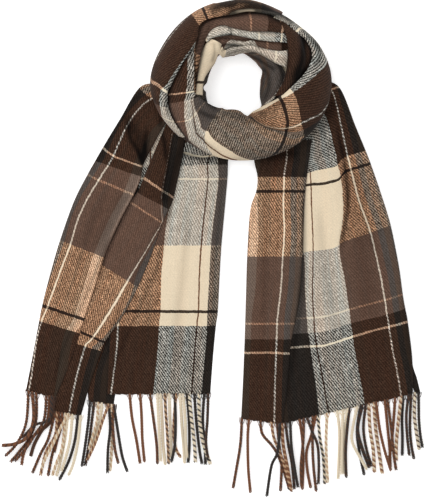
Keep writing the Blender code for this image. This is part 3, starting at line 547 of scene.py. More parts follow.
# level and puff: how high a stretch lies and swells; along and across: points of its grid
# rows: edge at the hole and outer edge on the table (x, y, x, y), and the tuck where it differs
# warp, weft: where a line lies on the check, for the whole line or point by point, and its pixels
# dark: strength of the painted shade (below 0 is lit), half width, pixels
# creases: height, half width, pixels
ringPieces = {
    "outer_band": {
        "slot": "plaid_brown", "flat": (0.048, 0.355), "level": 6.4, "puff": 4.5, "tuck": 0, "along": 170,
        "across": 34, "shadeHeights": (20, 34, 0.1),
        "rows": (
            (100, 343, 104, 350.5), (88, 348, 88, 361), (57, 354, 57, 368.8), (33, 349.5, 30, 366.8),
            (13.5, 346.5, 7, 362.4), (-5, 342, -13, 358), (-18, 333, -28, 350), (-24, 309, -58, 322),
            (-45, 274.5, -73.5, 297), (-60, 244.5, -85.5, 270), (-64.5, 234, -88.5, 259),
            (-63, 211.5, -82.5, 226.5), (-54, 190.5, -70.5, 198), (-39, 169.5, -46, 171),
        ),
        "warp": (
            ((203, 203, 207, 216, 209, 204, 204, 204, 204, 204, 204),
             ((275, 15), (250, 11), (232, 12), (219, 17), (203, 27), (193, 47), (177, 70), (165, 88),
              (161, 101), (163, 112), (170, 126))),
            (265.5, ((191, 16.5), (180, 28), (168.7, 42), (160, 57), (153, 72))),
        ),
        "weft": (
            (246, ((262, 4), (262, 12))), (345, ((208.5, 22), (206, 16), (203.5, 9))),
            (366, ((200, 28), (196, 21), (192, 15))), (469.5, ((169, 93), (160, 84), (152.5, 76))),
            (487.5, ((165, 107), (155, 97))),
        ),
        "dark": (
            (0.6, 9, ((218, 3), (230, 2), (242, 2), (258, 4), (272, 8), (284, 12))),
            (0.4, 8, ((206, 11), (220, 7), (238, 5), (256, 6), (272, 10))),
            (0.8, 4.5, ((252, 11), (262, 12), (272, 14.5), (281, 17), (292, 20))),
            (0.5, 9, ((208, 14), (216, 10), (226, 6), (238, 6))),
            (0.75, 3.5, ((222, 16), (232, 13), (242, 10.5), (252, 9.5), (264, 10), (280, 14))),
            (0.7, 2.5, ((286, 16), (268, 14.5), (246, 14), (226, 17), (209, 24), (199, 36))),
            (0.6, 2.5, ((199, 36), (193, 50), (182, 66), (172, 84), (167, 100), (169, 114), (178, 128))),
            (0.35, 5, ((160, 58), (152, 76), (153, 94), (160, 112))),
        ),
        "creases": (
            (-1.6, 4, ((283, 13), (262, 11.5), (240, 10), (222, 15))),
            (1.2, 7, ((196, 40), (180, 62), (165, 84))),
        ),
    },
    "front_loop": {
        "slot": "plaid_brown", "flat": (0.072, 0.53), "level": 5, "puff": 5.5, "tuck": 0, "along": 240,
        "across": 44, "lineFade": 0.012, "twillFrom": (279, -1.02),
        "rows": (
            (-22, 314, -27, 311, 8), (-26, 298.5, -32, 297, 8), (-28, 268, -47, 270, 8),
            (-28.5, 236, -62, 234, 8), (-21, 226.5, -62, 209, 8), (-6, 215, -54, 189, 7),
            (10.5, 208, -29, 158.5, 6), (33, 206, 4.5, 143, 0), (55.5, 198, 39, 134.5, 0),
            (79.5, 213, 67.5, 136, 0), (103, 227, 94.5, 143, 0), (120, 243, 135, 165, 0),
            (132.7, 256.5, 153, 184, 0), (141, 268.5, 166.5, 205.5, 0), (147, 283.5, 175.5, 235.5, 0),
            (146.5, 295.5, 175.5, 264, 0), (143, 303.5, 165.5, 293, 0), (135.5, 314, 151.5, 312, 0),
            (122.5, 324, 136.5, 328, 0), (108, 336.5, 121, 342, 0), (91, 344, 102, 354, 0),
        ),
        "warp": (
            (417, ((189, 48), (188.5, 70), (187.6, 89), (186, 108), (186.2, 121), (189, 134), (196, 144),
                (211, 154.5))),
            (358.5, ((193, 104), (193.4, 113), (194.4, 122.4), (198, 132.7), (203.8, 140.3), (214, 148.6),
                (221.6, 153.7), (236, 158.6))),
            (342, ((193.2, 98), (194.2, 108.4), (200, 121), (205, 128.8), (211.4, 136.5), (221.6, 144),
                (234.4, 151.8), (245.9, 156.3), (254.8, 158.8))),
            ((411, 411, 411, 409, 343, 322, 304, 296, 288, 284),
             ((197.3, 40), (194.7, 50), (193.4, 70), (193, 90), (193.4, 97), (200, 100.5), (208, 106.2),
              (219, 110.8), (234, 112.4), (248, 116.8))),
            ((416, 378, 354, 338, 322, 298, 286, 276, 269, 240, 200, 196, 193, 191, 189, 187),
             ((212, 153.5), (222, 156.5), (238, 159), (257, 158), (275, 153.5), (302, 139), (314, 126),
              (323, 112), (329, 92), (329, 73), (322, 54), (313, 41), (303, 30), (296, 23.6), (288, 18.8),
              (280.4, 15))),
            (284, ((249, 118.5), (262, 126.5), (275, 129.5), (288, 136), (303, 133), (318, 122))),
            ((249, 251, 257, 264, 266, 266, 262, 256, 252),
             ((249, 116), (262, 123.5), (275, 126), (288, 126.5), (302, 121), (318.6, 114), (323, 106),
              (326, 93), (328.5, 76.5))),
            (204, ((249.7, 117.5), (258.6, 112), (268.8, 107), (280.3, 99.5), (291.8, 93.8), (299.4, 88),
                (311, 79), (318.6, 71.4), (325.2, 63.4), (327, 53), (321, 42.4), (314, 34.8), (306.5, 27.4),
                (299, 21), (291, 16.4), (283, 13))),
        ),
        "weft": (
            (103.5, ((171, 94.5), (181, 93.5), (192, 92))), (121.5, ((170, 103), (181, 102), (192, 100))),
            (144, ((168, 122), (180, 121), (190, 120.5))),
            (246, ((219, 111), (212, 120), (206, 128), (203, 137), (208, 148), (214, 153.5))),
            (345, ((280, 98), (287, 125), (280, 145), (274, 152))),
            (366, ((291, 90), (295, 97), (299, 121), (303, 136))), (469.5, ((300, 30), (309, 24))),
        ),
        "dark": (
            (0.93, 6.5, ((199, 38), (190, 50), (180, 62), (173, 78), (169, 92), (166, 104))),
            (0.75, 3, ((169, 92), (171, 108), (177, 123), (186, 137), (197, 148))),
            (0.6, 4, ((196, 110), (203, 114.5), (211, 118), (220, 121))),
            (0.93, 5, ((198, 93), (204, 99), (211, 105.5), (219, 110))),
            (0.45, 2, ((193, 100), (193.4, 113), (195, 125), (200, 135), (210, 145), (224, 154))),
            (0.6, 3, ((246, 116), (252, 119.5), (262, 126), (275, 129.5), (288, 130.5), (302, 128))),
            (0.4, 7, ((212, 112), (228, 114), (244, 119), (262, 115), (278, 104), (288, 97))),
            (0.45, 4, ((313, 40), (318, 50), (318, 60), (312, 70))),
            (0.9, 7, ((256, 4), (268, 10), (278, 14.5), (286, 19), (294, 26))),
            (0.4, 4, ((284, 17), (296, 24), (306, 34), (314, 44), (320, 54))),
            (0.3, 8, ((330, 60), (331, 90), (322, 116), (300, 140))),
            (0.22, 10, ((256, 122), (266, 120), (278, 120))),
            (0.35, 6, ((226, 158), (250, 160), (276, 155), (300, 142))),
        ),
        "creases": (
            (-3.2, 4.5, ((240, 113), (249, 118), (262, 126), (275, 130), (289, 130), (300, 127))),
            (2.6, 7, ((250, 111), (263, 118), (276, 121), (290, 120), (306, 114))),
            (-1.5, 5, ((198, 104), (207, 113), (219, 115), (230, 112))),
            (1.6, 9, ((203, 118), (222, 133), (247, 145), (272, 146))),
            (-1.4, 4, ((187, 88), (190, 112), (196, 132), (212, 148))),
            (-1.8, 5, ((178, 92), (178, 112), (184, 130))), (1.4, 6, ((300, 96), (313, 84), (322, 66))),
        ),
    },
    "right_inner_fold": {
        "slot": "plaid_brown", "flat": (0.042, 0.155), "level": 4, "puff": 4.0, "tuck": 5, "along": 90,
        "across": 30, "vSlope": -1,
        "rows": (
            (91, 348, 104, 346), (102, 337.5, 124, 329), (111, 313.5, 143, 309), (112.5, 289.5, 149, 286.5),
            (111, 268.5, 144, 267), (105, 247.5, 127.5, 249), (93, 228, 108, 231),
        ),
        "warp": (
            (212, ((288, 30), (289, 50), (287, 80), (279, 100))), (244, ((304, 45), (308, 60), (303, 82))),
        ),
        "weft": ((90, ((286, 28), (296, 30))), (20, ((283, 88), (297, 84)))),
        "dark": (
            (0.93, 6.5, ((296, 16), (302, 34), (303, 48), (302, 60), (297, 72), (288, 86))),
            (0.85, 5, ((305, 22), (311, 38), (313, 52), (309, 66), (299, 78), (288, 92))),
            (0.45, 3, ((286.5, 40), (288, 60), (286, 74), (281, 90))),
        ),
        "creases": (
            (-3.5, 4, ((297, 26), (303, 44), (306, 62), (299, 82), (290, 96))),
            (2.0, 5, ((291, 28), (294, 50), (293, 72), (284, 96))),
        ),
    },
    "collar_band": {
        "slot": "plaid_brown", "flat": (0.03, 0.232), "level": 3, "puff": 3.5, "tuck": 5, "along": 150,
        "across": 24,
        "rows": (
            (111, 321, 104, 345), (87, 324, 84, 352), (58.5, 326, 57, 351), (36, 330, 33, 348),
            (15, 334.5, 10.5, 345), (-1.5, 327, -9, 337.5), (-12, 310.5, -20, 319.5),
            (-18, 289.5, -25.5, 298.5), (-22.5, 265.5, -28, 271.5), (-25.5, 232.5, -30, 235.5),
        ),
        "warp": (
            (216, ((282, 35), (270, 33), (251, 32), (236, 29), (222, 26), (211, 31), (204, 42), (200, 56),
                (197, 72), (195, 94))),
        ),
        "weft": (
            (103.5, ((281, 17), (283, 28))), (121.5, ((266.5, 17), (267, 31))),
            (144, ((250.5, 18), (251, 31))), (246, ((204, 57), (197, 53))),
        ),
        "dark": (
            (0.93, 3.4, ((196.6, 99), (196.4, 88), (197, 78), (198, 70))),
            (0.75, 2.6, ((197, 96), (197, 78), (200, 60), (204, 46), (211, 34), (222, 29.5), (236, 31.5),
                (252, 34), (268, 35), (284, 37))),
            (0.45, 4, ((194, 90), (196, 68), (200, 46), (207, 31), (216, 20))),
            (0.35, 3, ((216, 20), (236, 16), (262, 14), (284, 13))),
            (0.5, 4, ((283, 13), (285, 26), (284, 38))),
        ),
        "creases": (
            (1.2, 4, ((215, 26), (235, 24), (258, 24), (276, 25))),
            (-1.0, 3, ((209, 34), (203, 48), (199, 66))),
        ),
    },
    "collar_fold_light": {
        "slot": "plaid_grey", "flat": (0.021, 0.135), "level": 2, "puff": 1.8, "tuck": 4, "along": 110,
        "across": 18, "uSlope": -1,
        "rows": (
            (111, 307.5, 111, 322), (90, 310.5, 87, 325), (66, 314.5, 61.5, 327), (46.5, 319, 42, 330.5),
            (28.5, 321, 24, 333.5), (13.5, 319, 7.5, 334), (0, 316, -6, 327), (-7, 309, -12.5, 314),
        ),
        "warp": ((195, ((283, 43), (270, 42), (256, 38), (243, 36), (231, 34), (221, 35), (212, 38))),),
        "weft": (
            (103.5, ((281, 33), (281, 42))), (121.5, ((274.5, 33), (274.5, 42))),
            (144, ((258.5, 32), (259, 39))), (235, ((215, 30), (212, 38))),
        ),
        "dark": (
            (0.8, 2.2, ((207, 40), (214, 38.5), (226, 35), (234, 36), (246, 38.5), (262, 42), (284, 44))),
            (0.45, 2.6, ((205, 36), (212, 28), (224, 25.5), (240, 29), (262, 33), (284, 35))),
            (0.55, 2.4, ((227, 27), (231, 32), (229, 37))),
        ),
        "creases": (
            (-1.2, 3, ((228, 27), (233, 33), (231, 40))), (0.9, 4, ((208, 36), (217, 30), (226, 30))),
        ),
    },
    "collar_fold_dark": {
        "slot": "plaid_brown", "flat": (0.031, 0.118), "level": 0, "puff": 1.5, "tuck": 3, "along": 110,
        "across": 22,
        "rows": (
            (111, 292, 112, 309), (99, 292, 97.5, 310.5), (81, 296, 78, 313.5), (61.5, 300, 58.5, 317),
            (42, 300, 39, 320), (25.5, 298, 22.5, 320), (16, 298, 12.5, 317.5), (6, 300, 4, 314.5),
        ),
        "warp": (
            ((216, 216, 212, 204, 204, 204, 204, 204, 204, 204),
             ((284, 51), (272, 50), (262, 47), (253, 40.5), (248, 42.5), (243, 43), (237, 40.5), (232, 40),
              (227, 43), (222, 47))),
        ),
        "weft": (
            (121.5, ((281, 45), (281, 51))), (160, ((258, 43), (258, 48))), (200, ((232, 38), (231, 45))),
        ),
        "dark": (
            (0.85, 2.0, ((218, 48), (226, 44), (238, 45.5), (252, 50), (266, 53.5), (284, 53))),
            (0.7, 1.8, ((212, 42), (222, 38.5), (234, 40), (252, 40.5), (284, 44.5))),
            (0.6, 4, ((282, 44), (284, 54))),
        ),
        "creases": (
            (1.8, 2.4, ((222, 47), (227, 42), (232, 39.5), (237, 40.5), (243, 44), (248, 43.5), (254, 39))),
            (-1.4, 2.2, ((226, 48), (234, 44.5), (243, 47), (251, 44.5), (260, 47))),
        ),
    },
    "collar_fold_low": {
        "slot": "plaid_grey", "flat": (0.023, 0.125), "level": 2, "puff": 3.0, "tuck": 0, "along": 110,
        "across": 22,
        "rows": (
            (110.5, 272, 112, 295), (97.5, 278.5, 99, 295), (81, 289, 81, 299), (63, 297, 61.5, 305),
            (48, 297, 45, 305), (31.5, 294, 28.5, 303.5), (18, 289, 19, 299.5), (8, 295, 14, 303),
        ),
        "warp": ((160, ((285, 60), (272, 55), (254, 48), (240, 49), (228, 51), (221, 54))),),
        "weft": (
            (132, ((284, 52), (284, 60))), (160, ((266, 49), (266, 55))), (240, ((228, 46), (229, 51))),
            (262, ((222, 49), (221, 53))),
        ),
        "dark": (
            (0.55, 2.0, ((219, 51), (224, 49), (236, 46), (250, 43.5), (262, 49), (284, 51))),
            (0.5, 2.2, ((222, 55), (240, 50), (256, 52), (272, 61), (286, 70))),
            (0.4, 3, ((280, 56), (285, 62), (286, 68))),
        ),
        "creases": (
            (1.6, 4, ((222, 52), (236, 46), (252, 46), (268, 54))),
            (-1.6, 3, ((244, 44), (256, 52), (272, 62), (282, 66))),
        ),
    },
    "inner_cream_fold": {
        "slot": "plaid_cream", "flat": (0.026, 0.092), "level": 1, "puff": 2.2, "tuck": 3, "along": 100,
        "across": 22,
        "rows": (
            (13.5, 308, 3, 313), (8, 295.5, -8, 303.5), (1.5, 280.5, -15, 288), (-7, 268.5, -20, 271.5),
            (-15.5, 253.5, -24, 253.5), (-16.5, 229.5, -25.5, 231),
        ),
        "warp": ((160, ((216, 54), (212, 66), (205, 80), (200, 95))),),
        "weft": ((345, ((193, 82.5), (201, 82))), (300, ((199, 58), (210, 58)))),
        "dark": (
            (0.75, 2.2, ((207, 38), (203, 50), (199, 66), (195, 84), (194, 98))),
            (0.65, 2.0, ((217, 41), (221, 50), (217, 60), (208, 72), (203, 84), (202, 96))),
            (0.3, 2.2, ((214, 42), (214, 52), (210, 64))),
        ),
        "creases": (
            (2.2, 3.2, ((214, 40), (218, 46), (219, 56))), (-1.4, 2.4, ((211, 42), (214, 52), (211, 64))),
        ),
    },
    "inner_left_band": {
        "slot": "plaid_charcoal", "flat": (0.028, 0.108), "level": 0, "puff": 0.5, "tuck": 3, "along": 90,
        "across": 16,
        "rows": (
            (13, 292, 4, 299), (6, 276, -5, 283), (-7, 263, -17, 268), (-11, 250.5, -20, 253),
            (-15.5, 240, -25, 238), (-4, 225, -20, 217), (8, 210, -8, 203),
        ),
        "warp": ((300, ((215, 60), (208, 76), (204, 90))),),
        "weft": ((300, ((206, 75), (210, 75))), (350, ((203, 105), (208, 104)))),
        "dark": ((0.85, 14, ((222, 44), (214, 60), (208, 80), (204, 96), (212, 104), (219, 111))),),
    },
    "inner_right_band": {
        "slot": "plaid_charcoal", "flat": (0.044, 0.128), "level": 1, "puff": 2.0, "tuck": 0, "along": 110,
        "across": 26,
        "rows": (
            (39, 292.5, 50, 299), (57, 288, 74, 293), (69, 277.5, 94, 282), (76, 265.5, 108, 265.5),
            (74, 247.5, 106, 244.5), (69, 223.5, 93, 225), (67.5, 209, 76, 211),
        ),
        "warp": (
            (274, ((256, 60), (263, 72), (262, 85), (259, 98))),
            ((300, 310, 330, 350), ((268, 60), (276, 72), (277, 85), (274, 98))),
        ),
        "weft": ((150, ((250, 55), (256, 58))), (232, ((260, 98), (270, 98)))),
        "dark": (
            (0.88, 3.4, ((272, 60), (280, 68), (283, 80), (280, 92), (274, 104))),
            (0.55, 4, ((262, 66), (268, 76), (268, 90), (262, 104))),
            (0.7, 3, ((240, 53), (256, 59), (268, 66), (276, 72))),
            (0.55, 3, ((263, 66), (262, 84), (259, 104))),
        ),
        "creases": (
            (2.6, 3.2, ((262, 60), (272, 70), (276, 84), (273, 98))),
            (-2.2, 3.2, ((268, 60), (279, 72), (282, 86), (276, 100))),
            (-1.4, 3, ((258, 66), (266, 78), (267, 92))),
        ),
    },
}
for name, spec in ringPieces.items():
    dress(name, spec, ringStretch(spec))
print("ring made")

# the tails

tails = {
    "edgeRound": 3.4, "edgeDrop": 0.75, "softenings": 6,
    # heights that a solid's top is looked for from, above it and beside it
    "above": 200.0, "beside": 4.0,
    # how far the hem reaches over the tassels' roots, and its waves: height, pitch, start
    "hem": 2.3, "hemWaves": ((0.6, 0.62, 0.0), (0.5, 1.31, 1.0)),
}


def solidTree(node):
    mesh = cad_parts[node].data
    return BVHTree.FromPolygons([tuple(v.co) for v in mesh.vertices], [tuple(p.vertices) for p in mesh.polygons])


def topOf(tree, x, y):
    # height of a solid's top at a place on the table, or of its nearest point beside it
    down = Vector((0, 0, -1))
    hit = tree.ray_cast(Vector(partPlace(x, y, tails["above"])), down)[0]
    if hit is None:
        near = tree.find_nearest(Vector(partPlace(x, y, tails["beside"])))[0]
        hit = tree.ray_cast(Vector((near.x, near.y, tails["above"] / 1000)), down)[0] or near
    return hit.z * 1000


def softened(values, times):
    for _ in range(times):
        padded = np.pad(values, 1, mode="edge")
        values = (padded[:-2, 1:-1] + padded[2:, 1:-1] + padded[1:-1, :-2] + padded[1:-1, 2:] + 2 * values) / 6
    return values


def tailSurface(name, spec):
    tree = solidTree(name)
    rows = smoothRows(spec["rows"], spec["along"])
    t = np.linspace(0, 1, spec["across"])[None, :]
    x = rows[:, 0:1] + (rows[:, 2:3] - rows[:, 0:1]) * t
    y = rows[:, 1:2] + (rows[:, 3:4] - rows[:, 1:2]) * t
    # the hem reaches over the strip that holds the tassels' roots
    down = rows[-1] - rows[-2]
    length = math.hypot(down[0], down[1])
    past = tails["hem"]
    for height, pitch, start in tails["hemWaves"]:
        past = past + height * np.sin(x[-1:] * pitch + start)
    x = np.concatenate([x, x[-1:] + down[0] / length * past])
    y = np.concatenate([y, y[-1:] + down[1] / length * past])
    z = np.array([[topOf(tree, a, b) for a, b in zip(rowX, rowY)] for rowX, rowY in zip(x, y)])
    z = softened(z, tails["softenings"]) + creaseHeight(x, y, spec.get("creases", ()))
    # the long edges are where the cloth turns under, rounded down over a few millimetres
    fromLeft = arcLength(np.stack([x, y], axis=-1), 1)
    fromEdge = np.minimum(fromLeft, fromLeft[:, -1:] - fromLeft)
    bend = np.clip(1 - fromEdge / tails["edgeRound"], 0, 1)
    return np.stack([x, y, z - tails["edgeDrop"] * (1 - np.sqrt(1 - bend**2))], axis=-1)


# rows: left and right edge on the table (x, y, x, y), from the ring to the hem
# dark: strength of the painted shade (below 0 a painted highlight), half width, pixels
tailPieces = {
    "left_under_fold": {
        "slot": "plaid_charcoal", "flat": (0.038, 0.13), "along": 46, "across": 20,
        "rows": (
            (-150, -103.5, -129, -109.5), (-171, -151.5, -135, -154.5), (-186, -189, -141, -192),
            (-186, -226.5, -147, -232.5),
        ),
        "warp": ((285, ((100, 380), (98, 402))),),
        "weft": ((464, ((86, 399), (112, 403))),),
    },
    "left_panel": {
        "slot": "plaid_cream", "flat": (0.13, 0.402), "along": 150, "across": 64, "uSlope": -1,
        "rows": (
            (-33, 178.5, 30, 163.5), (-63, 139.5, 25, 136.5), (-75, 121.5, 24, 121.5),
            (-81, 103.5, 23.5, 105), (-99, 54, 19, 55.5), (-120, 3, 14.5, 6), (-138, -46.5, 11.5, -43.5),
            (-150, -96, 9, -93), (-154, -118.5, 6, -115.5), (-155, -166.5, 1.5, -163.5),
            (-157.5, -216, -2.3, -215.7),
        ),
        "warp": (
            (204, ((184.5, 145.5), (175.6, 184), (168, 216), (164, 254), (161.6, 309), (159, 340),
                (154, 392))),
            (129, ((219, 158), (218, 191), (214, 219.5), (211.5, 245), (209.6, 279), (207.7, 309), (207, 340),
                (202, 392))),
            (145.5, ((209.6, 158), (208, 191), (205, 219.5), (202.6, 245), (200, 309), (197, 340),
                (193, 392))),
            (265.5, ((121, 312), (118.6, 340), (112, 392))),
        ),
        "weft": (
            (103.5, ((187, 152.5), (195, 155.3), (204, 156.4), (212, 155.5), (219, 153.4))),
            (121.5, ((184, 166), (219, 164.5))), (144, ((176, 178.7), (220, 178.7))),
            (246, ((165, 244.6), (212, 244.6))), (345, ((135, 311), (205, 311.5))),
            (366, ((125, 326), (205, 326))), (464, ((108, 392.6), (210, 392.6))),
        ),
        "dark": (
            (0.65, 5, ((178, 152), (186, 154), (198, 158), (212, 160), (222, 158))),
            (0.6, 3.5, ((184, 148), (180, 168), (172, 200), (166, 232))),
            (0.35, 3.5, ((166, 232), (156, 268), (140, 306), (116, 360), (108, 392))),
            (0.16, 7, ((190, 200), (184, 260), (176, 330), (172, 388))),
            (0.25, 3, ((224, 160), (220, 210), (215, 260), (213, 330), (211, 390))),
        ),
        "creases": (
            (1.6, 9, ((186, 140), (180, 190), (172, 250))), (-0.7, 6, ((196, 150), (192, 190), (187, 230))),
            (1.0, 12, ((200, 200), (196, 280), (190, 360))), (0.9, 10, ((140, 300), (136, 350), (134, 385))),
        ),
    },
    "left_flap_inner": {
        "slot": "plaid_brown", "flat": (0.052, 0.476), "along": 170, "across": 34, "lineFade": 0.018,
        "rows": (
            (-60, 208.5, -39, 181.5), (-78, 166.5, -42, 148.5), (-102.5, 108, -57, 78),
            (-110.5, 88.5, -64.5, 60), (-124.5, 68, -75, 37.5), (-146, 24, -91.5, -10.5),
            (-167, -24, -111, -57), (-182, -72, -132, -97.5), (-202, -124.5, -160.5, -139.5),
            (-208, -143, -166.5, -154.5), (-226, -187, -180, -194), (-241, -241.5, -196, -249),
        ),
        "warp": (
            (264, ((162.4, 222.6), (153.6, 233.6), (139.7, 257.7), (125.8, 279.6), (109.8, 307.2),
                (92.4, 334.7), (83, 345), (66.9, 415))),
            (267, ((164.4, 223.6), (155.4, 234.8), (141.6, 258.9), (127.7, 280.8), (111.7, 308.4),
                (94.4, 336), (85, 345.5), (69.1, 415))),
            ((204, 204, 204, 205, 209, 215, 223, 234, 240, 244),
             ((159.5, 119), (158, 128), (151, 143), (146, 160), (141, 180), (132, 204), (116, 240), (90, 300),
              (70, 345), (56, 405))),
            (258, ((171.2, 134), (167.3, 160), (162.8, 185), (160.7, 200), (160.4, 212), (161.6, 220.5))),
            (277, ((172.6, 134), (168.7, 160), (164.2, 185), (162.1, 200), (161.9, 212), (165.6, 222),
                (158.4, 233.6), (151, 246), (143.6, 259), (135, 276), (132.8, 290), (124.4, 308), (114, 325),
                (103, 337))),
        ),
        "weft": (
            (103.5, ((144, 177), (162, 189.5), (173, 196.5))), (121.5, ((141, 195), (159, 204))),
            (144, ((132, 203), (155, 218))), (246, ((104, 265), (135, 284.5))),
            (345, ((78.6, 331), (101, 341))), (366, ((76, 343.5), (101, 351))),
            (464, ((54.7, 411), (81.4, 415))),
        ),
        "dark": (
            (0.8, 4.5, ((151, 122), (147, 134), (145.5, 150), (143.5, 168))),
            (0.6, 8, ((186, 138), (177, 160), (171, 184), (165, 210))),
            (0.55, 3.0, ((173, 130), (169, 160), (164.5, 185), (162, 206))),
            (0.8, 3.5, ((156, 116), (161, 130), (165, 146), (166, 166))),
            (0.45, 2, ((141.5, 184), (134.5, 197.5), (120, 226), (105.5, 259), (96, 289))),
            (0.3, 3, ((165, 206), (156, 232), (136, 274), (116, 318), (104, 350), (94, 398))),
        ),
        "creases": (
            (1.4, 7, ((160, 150), (148, 190), (126, 240))), (-0.9, 4, ((152, 130), (146, 150), (145, 168))),
            (0.9, 8, ((112, 270), (96, 310), (84, 350))),
        ),
    },
    "left_flap_outer": {
        "slot": "plaid_tan", "flat": (0.069, 0.495), "along": 170, "across": 42, "uSlope": -1,
        "rows": (
            (-78, 247.5, -52, 200), (-108, 243, -70.5, 186), (-139, 193.5, -90, 151.5),
            (-163.5, 153, -103.5, 124.5), (-175.5, 132, -106.5, 106.5), (-186.5, 112.5, -117, 81),
            (-207, 72, -139, 38.5), (-228, 13.5, -161, -12), (-243, -37.5, -174.5, -56.5),
            (-255, -85, -190.5, -104.5), (-259.5, -108, -198, -127), (-269, -159, -214, -173.5),
            (-279, -210.8, -234, -221),
        ),
        "warp": (
            (52.5, ((152, 100), (143, 106), (136, 113), (129, 123), (115, 155), (99, 181), (77, 223),
                (72, 244), (49, 305), (37, 340), (30, 390))),
            (15, ((141, 150), (133, 166), (129, 179), (122, 196), (107, 224), (93, 256), (84, 286),
                (74, 317))),
            (1, ((150.5, 148), (142, 166), (140, 178), (133, 195), (118.3, 223), (103.7, 256), (94.7, 286),
                (84, 318))),
        ),
        "weft": (
            (103.5, ((103, 147), (114, 156), (127, 161), (142, 166))), (121.5, ((95, 161), (142, 177))),
            (144, ((89, 175), (99, 180), (132, 194))), (246, ((62, 240), (104, 256.5))),
            (345, ((43, 305.6), (83, 319))), (366, ((40, 321), (78, 333))), (464, ((26, 389), (54.7, 397))),
        ),
        "dark": (
            (0.7, 4, ((128, 118), (129.5, 136), (138, 152), (143, 168))),
            (0.5, 9, ((124, 110), (132, 124), (139, 138), (144, 152), (145, 164))),
            (-0.55, 1.5, ((142.5, 170), (139.6, 179), (132.4, 194), (118, 221), (108, 242))),
            (0.22, 9, ((128, 186), (116, 208), (104, 232), (94, 252))),
            (0.6, 4.5, ((147, 126), (146, 140), (144, 156), (142, 172))),
            (0.55, 4, ((158, 104), (161, 114), (159, 128))),
            (0.3, 3, ((112, 234), (103, 254), (84, 300), (62, 352), (50, 396))),
            (0.25, 6, ((138, 90), (122, 116), (104, 148), (84, 180))),
            (0.18, 7, ((112, 180), (96, 214), (84, 246), (72, 290))),
        ),
        "creases": (
            (-2.0, 4, ((140, 96), (133, 118), (138, 140), (144, 160))),
            (2.4, 7, ((150, 100), (138, 110), (130, 128))), (1.8, 6, ((146, 122), (138, 150), (128, 176))),
            (1.3, 9, ((112, 150), (94, 196), (78, 250))), (-0.8, 5, ((128, 186), (112, 222), (98, 256))),
        ),
    },
    "right_under_fold": {
        "slot": "plaid_charcoal", "flat": (0.014, 0.073), "along": 30, "across": 12, "vSlope": -1,
        "rows": (
            (282, -140, 297.5, -152), (288, -169.5, 302, -177), (296, -193.5, 307.5, -193.5),
            (303.2, -214.5, 312.6, -214.5),
        ),
        "warp": ((300, ((410, 380), (415, 391))),),
        "weft": ((4, ((413, 392), (419, 392))),),
    },
    "right_panel_main": {
        "slot": "plaid_tan", "flat": (0.145, 0.472), "along": 170, "across": 70, "vSlope": -1,
        "rows": (
            (129, 178.5, 165, 253.5), (142.5, 148.5, 192, 241.5), (142, 126, 216, 183),
            (140, 112.5, 231, 147), (138, 96, 238.5, 127.5), (135, 46.5, 255, 79.5), (134, -6, 268.5, 34.5),
            (129, -61.5, 280.5, -25.5), (120, -106.5, 286.5, -69), (114, -127.5, 290.3, -90),
            (111, -150, 294, -110), (107, -204, 300.5, -164), (101, -261, 301.5, -215.5),
        ),
        "warp": (
            (129, ((304, 280), (307, 318), (310, 347), (314, 376), (319, 412))),
            (145.5, ((309, 172), (310, 189), (311, 218), (311, 289), (313, 318), (315, 347), (321, 376),
                (328, 412))),
            (204, ((327.5, 120), (338, 166), (342, 181), (344, 213), (341, 235), (338, 247), (343.6, 276),
                (345.5, 287), (349, 310), (351, 328), (353.6, 349), (359, 376), (364, 399))),
            ((249, 249, 248, 237, 226, 212, 206.5, 206.5, 206, 206, 206, 206, 206),
             ((329, 120), (339.5, 166), (343.5, 181), (345.5, 213), (342.5, 235), (339.5, 247), (345.1, 276),
              (347, 287), (350.5, 310), (352.5, 328), (355.1, 349), (360.5, 376), (365.5, 399))),
            (265.5, ((333, 92), (334.5, 102), (338.5, 118), (343, 140), (346.5, 157), (350, 170), (357, 198),
                (370, 234), (376, 260), (380, 278), (384, 300), (388, 328), (392, 354), (400, 392))),
        ),
        "weft": (
            (366, ((310.5, 172), (338, 166), (340, 159.5), (347, 156), (365, 151))),
            (345, ((307, 185), (323, 184), (341, 179.5), (343, 172), (370, 164))),
            (246, ((305, 253), (337, 249), (341, 243), (366.5, 235), (380, 230), (391, 226))),
            (144, ((290, 319), (325, 317), (348, 310), (383, 301), (402, 295))),
            (121.5, ((290, 334), (325, 332), (351, 323), (386, 315), (405, 309))),
            (103.5, ((288, 348.4), (325, 346.6), (351, 338), (375, 330.5), (387, 328), (408, 322.5))),
            (3, ((279.8, 423), (317.5, 415.5), (330, 411), (350, 406), (363.6, 403), (394, 399), (412, 392))),
        ),
        "dark": (
            (0.7, 4, ((334, 118), (341, 146), (346, 176), (347.5, 206), (343, 236), (340, 250))),
            (0.45, 4, ((306, 166), (304, 200), (304, 250), (303, 290), (297, 330), (291, 372), (283, 420))),
            (0.4, 8, ((298, 138), (318, 128), (330, 114), (336, 96))),
            (0.2, 6, ((352, 166), (362, 196), (368, 226), (376, 262))),
            (0.22, 16, ((346, 150), (354, 196), (360, 240), (366, 290), (372, 330))),
            (0.16, 8, ((318, 200), (322, 250), (330, 300), (338, 350))),
            (0.25, 4, ((378, 170), (392, 220), (402, 276), (406, 320), (412, 388))),
        ),
        "creases": (
            (2.4, 6, ((337, 130), (351, 175), (357, 215), (350, 255))),
            (-1.2, 4, ((330, 122), (343, 170), (347, 205), (342, 245))),
            (1.2, 9, ((312, 150), (316, 200), (322, 260))), (1.0, 12, ((372, 180), (388, 250), (398, 320))),
            (0.8, 8, ((330, 280), (336, 340), (346, 392))),
        ),
    },
    "right_panel_left": {
        "slot": "plaid_tan", "flat": (0.078, 0.425), "along": 150, "across": 40, "vSlope": -1,
        "rows": (
            (60, 163.5, 150, 163.5), (63, 132, 145.5, 133.5), (68, 108, 142.5, 108), (66, 86.5, 140.5, 88.5),
            (57, 57, 138, 55.5), (52.5, -12.6, 136.5, -12), (51, -61.5, 134.5, -60),
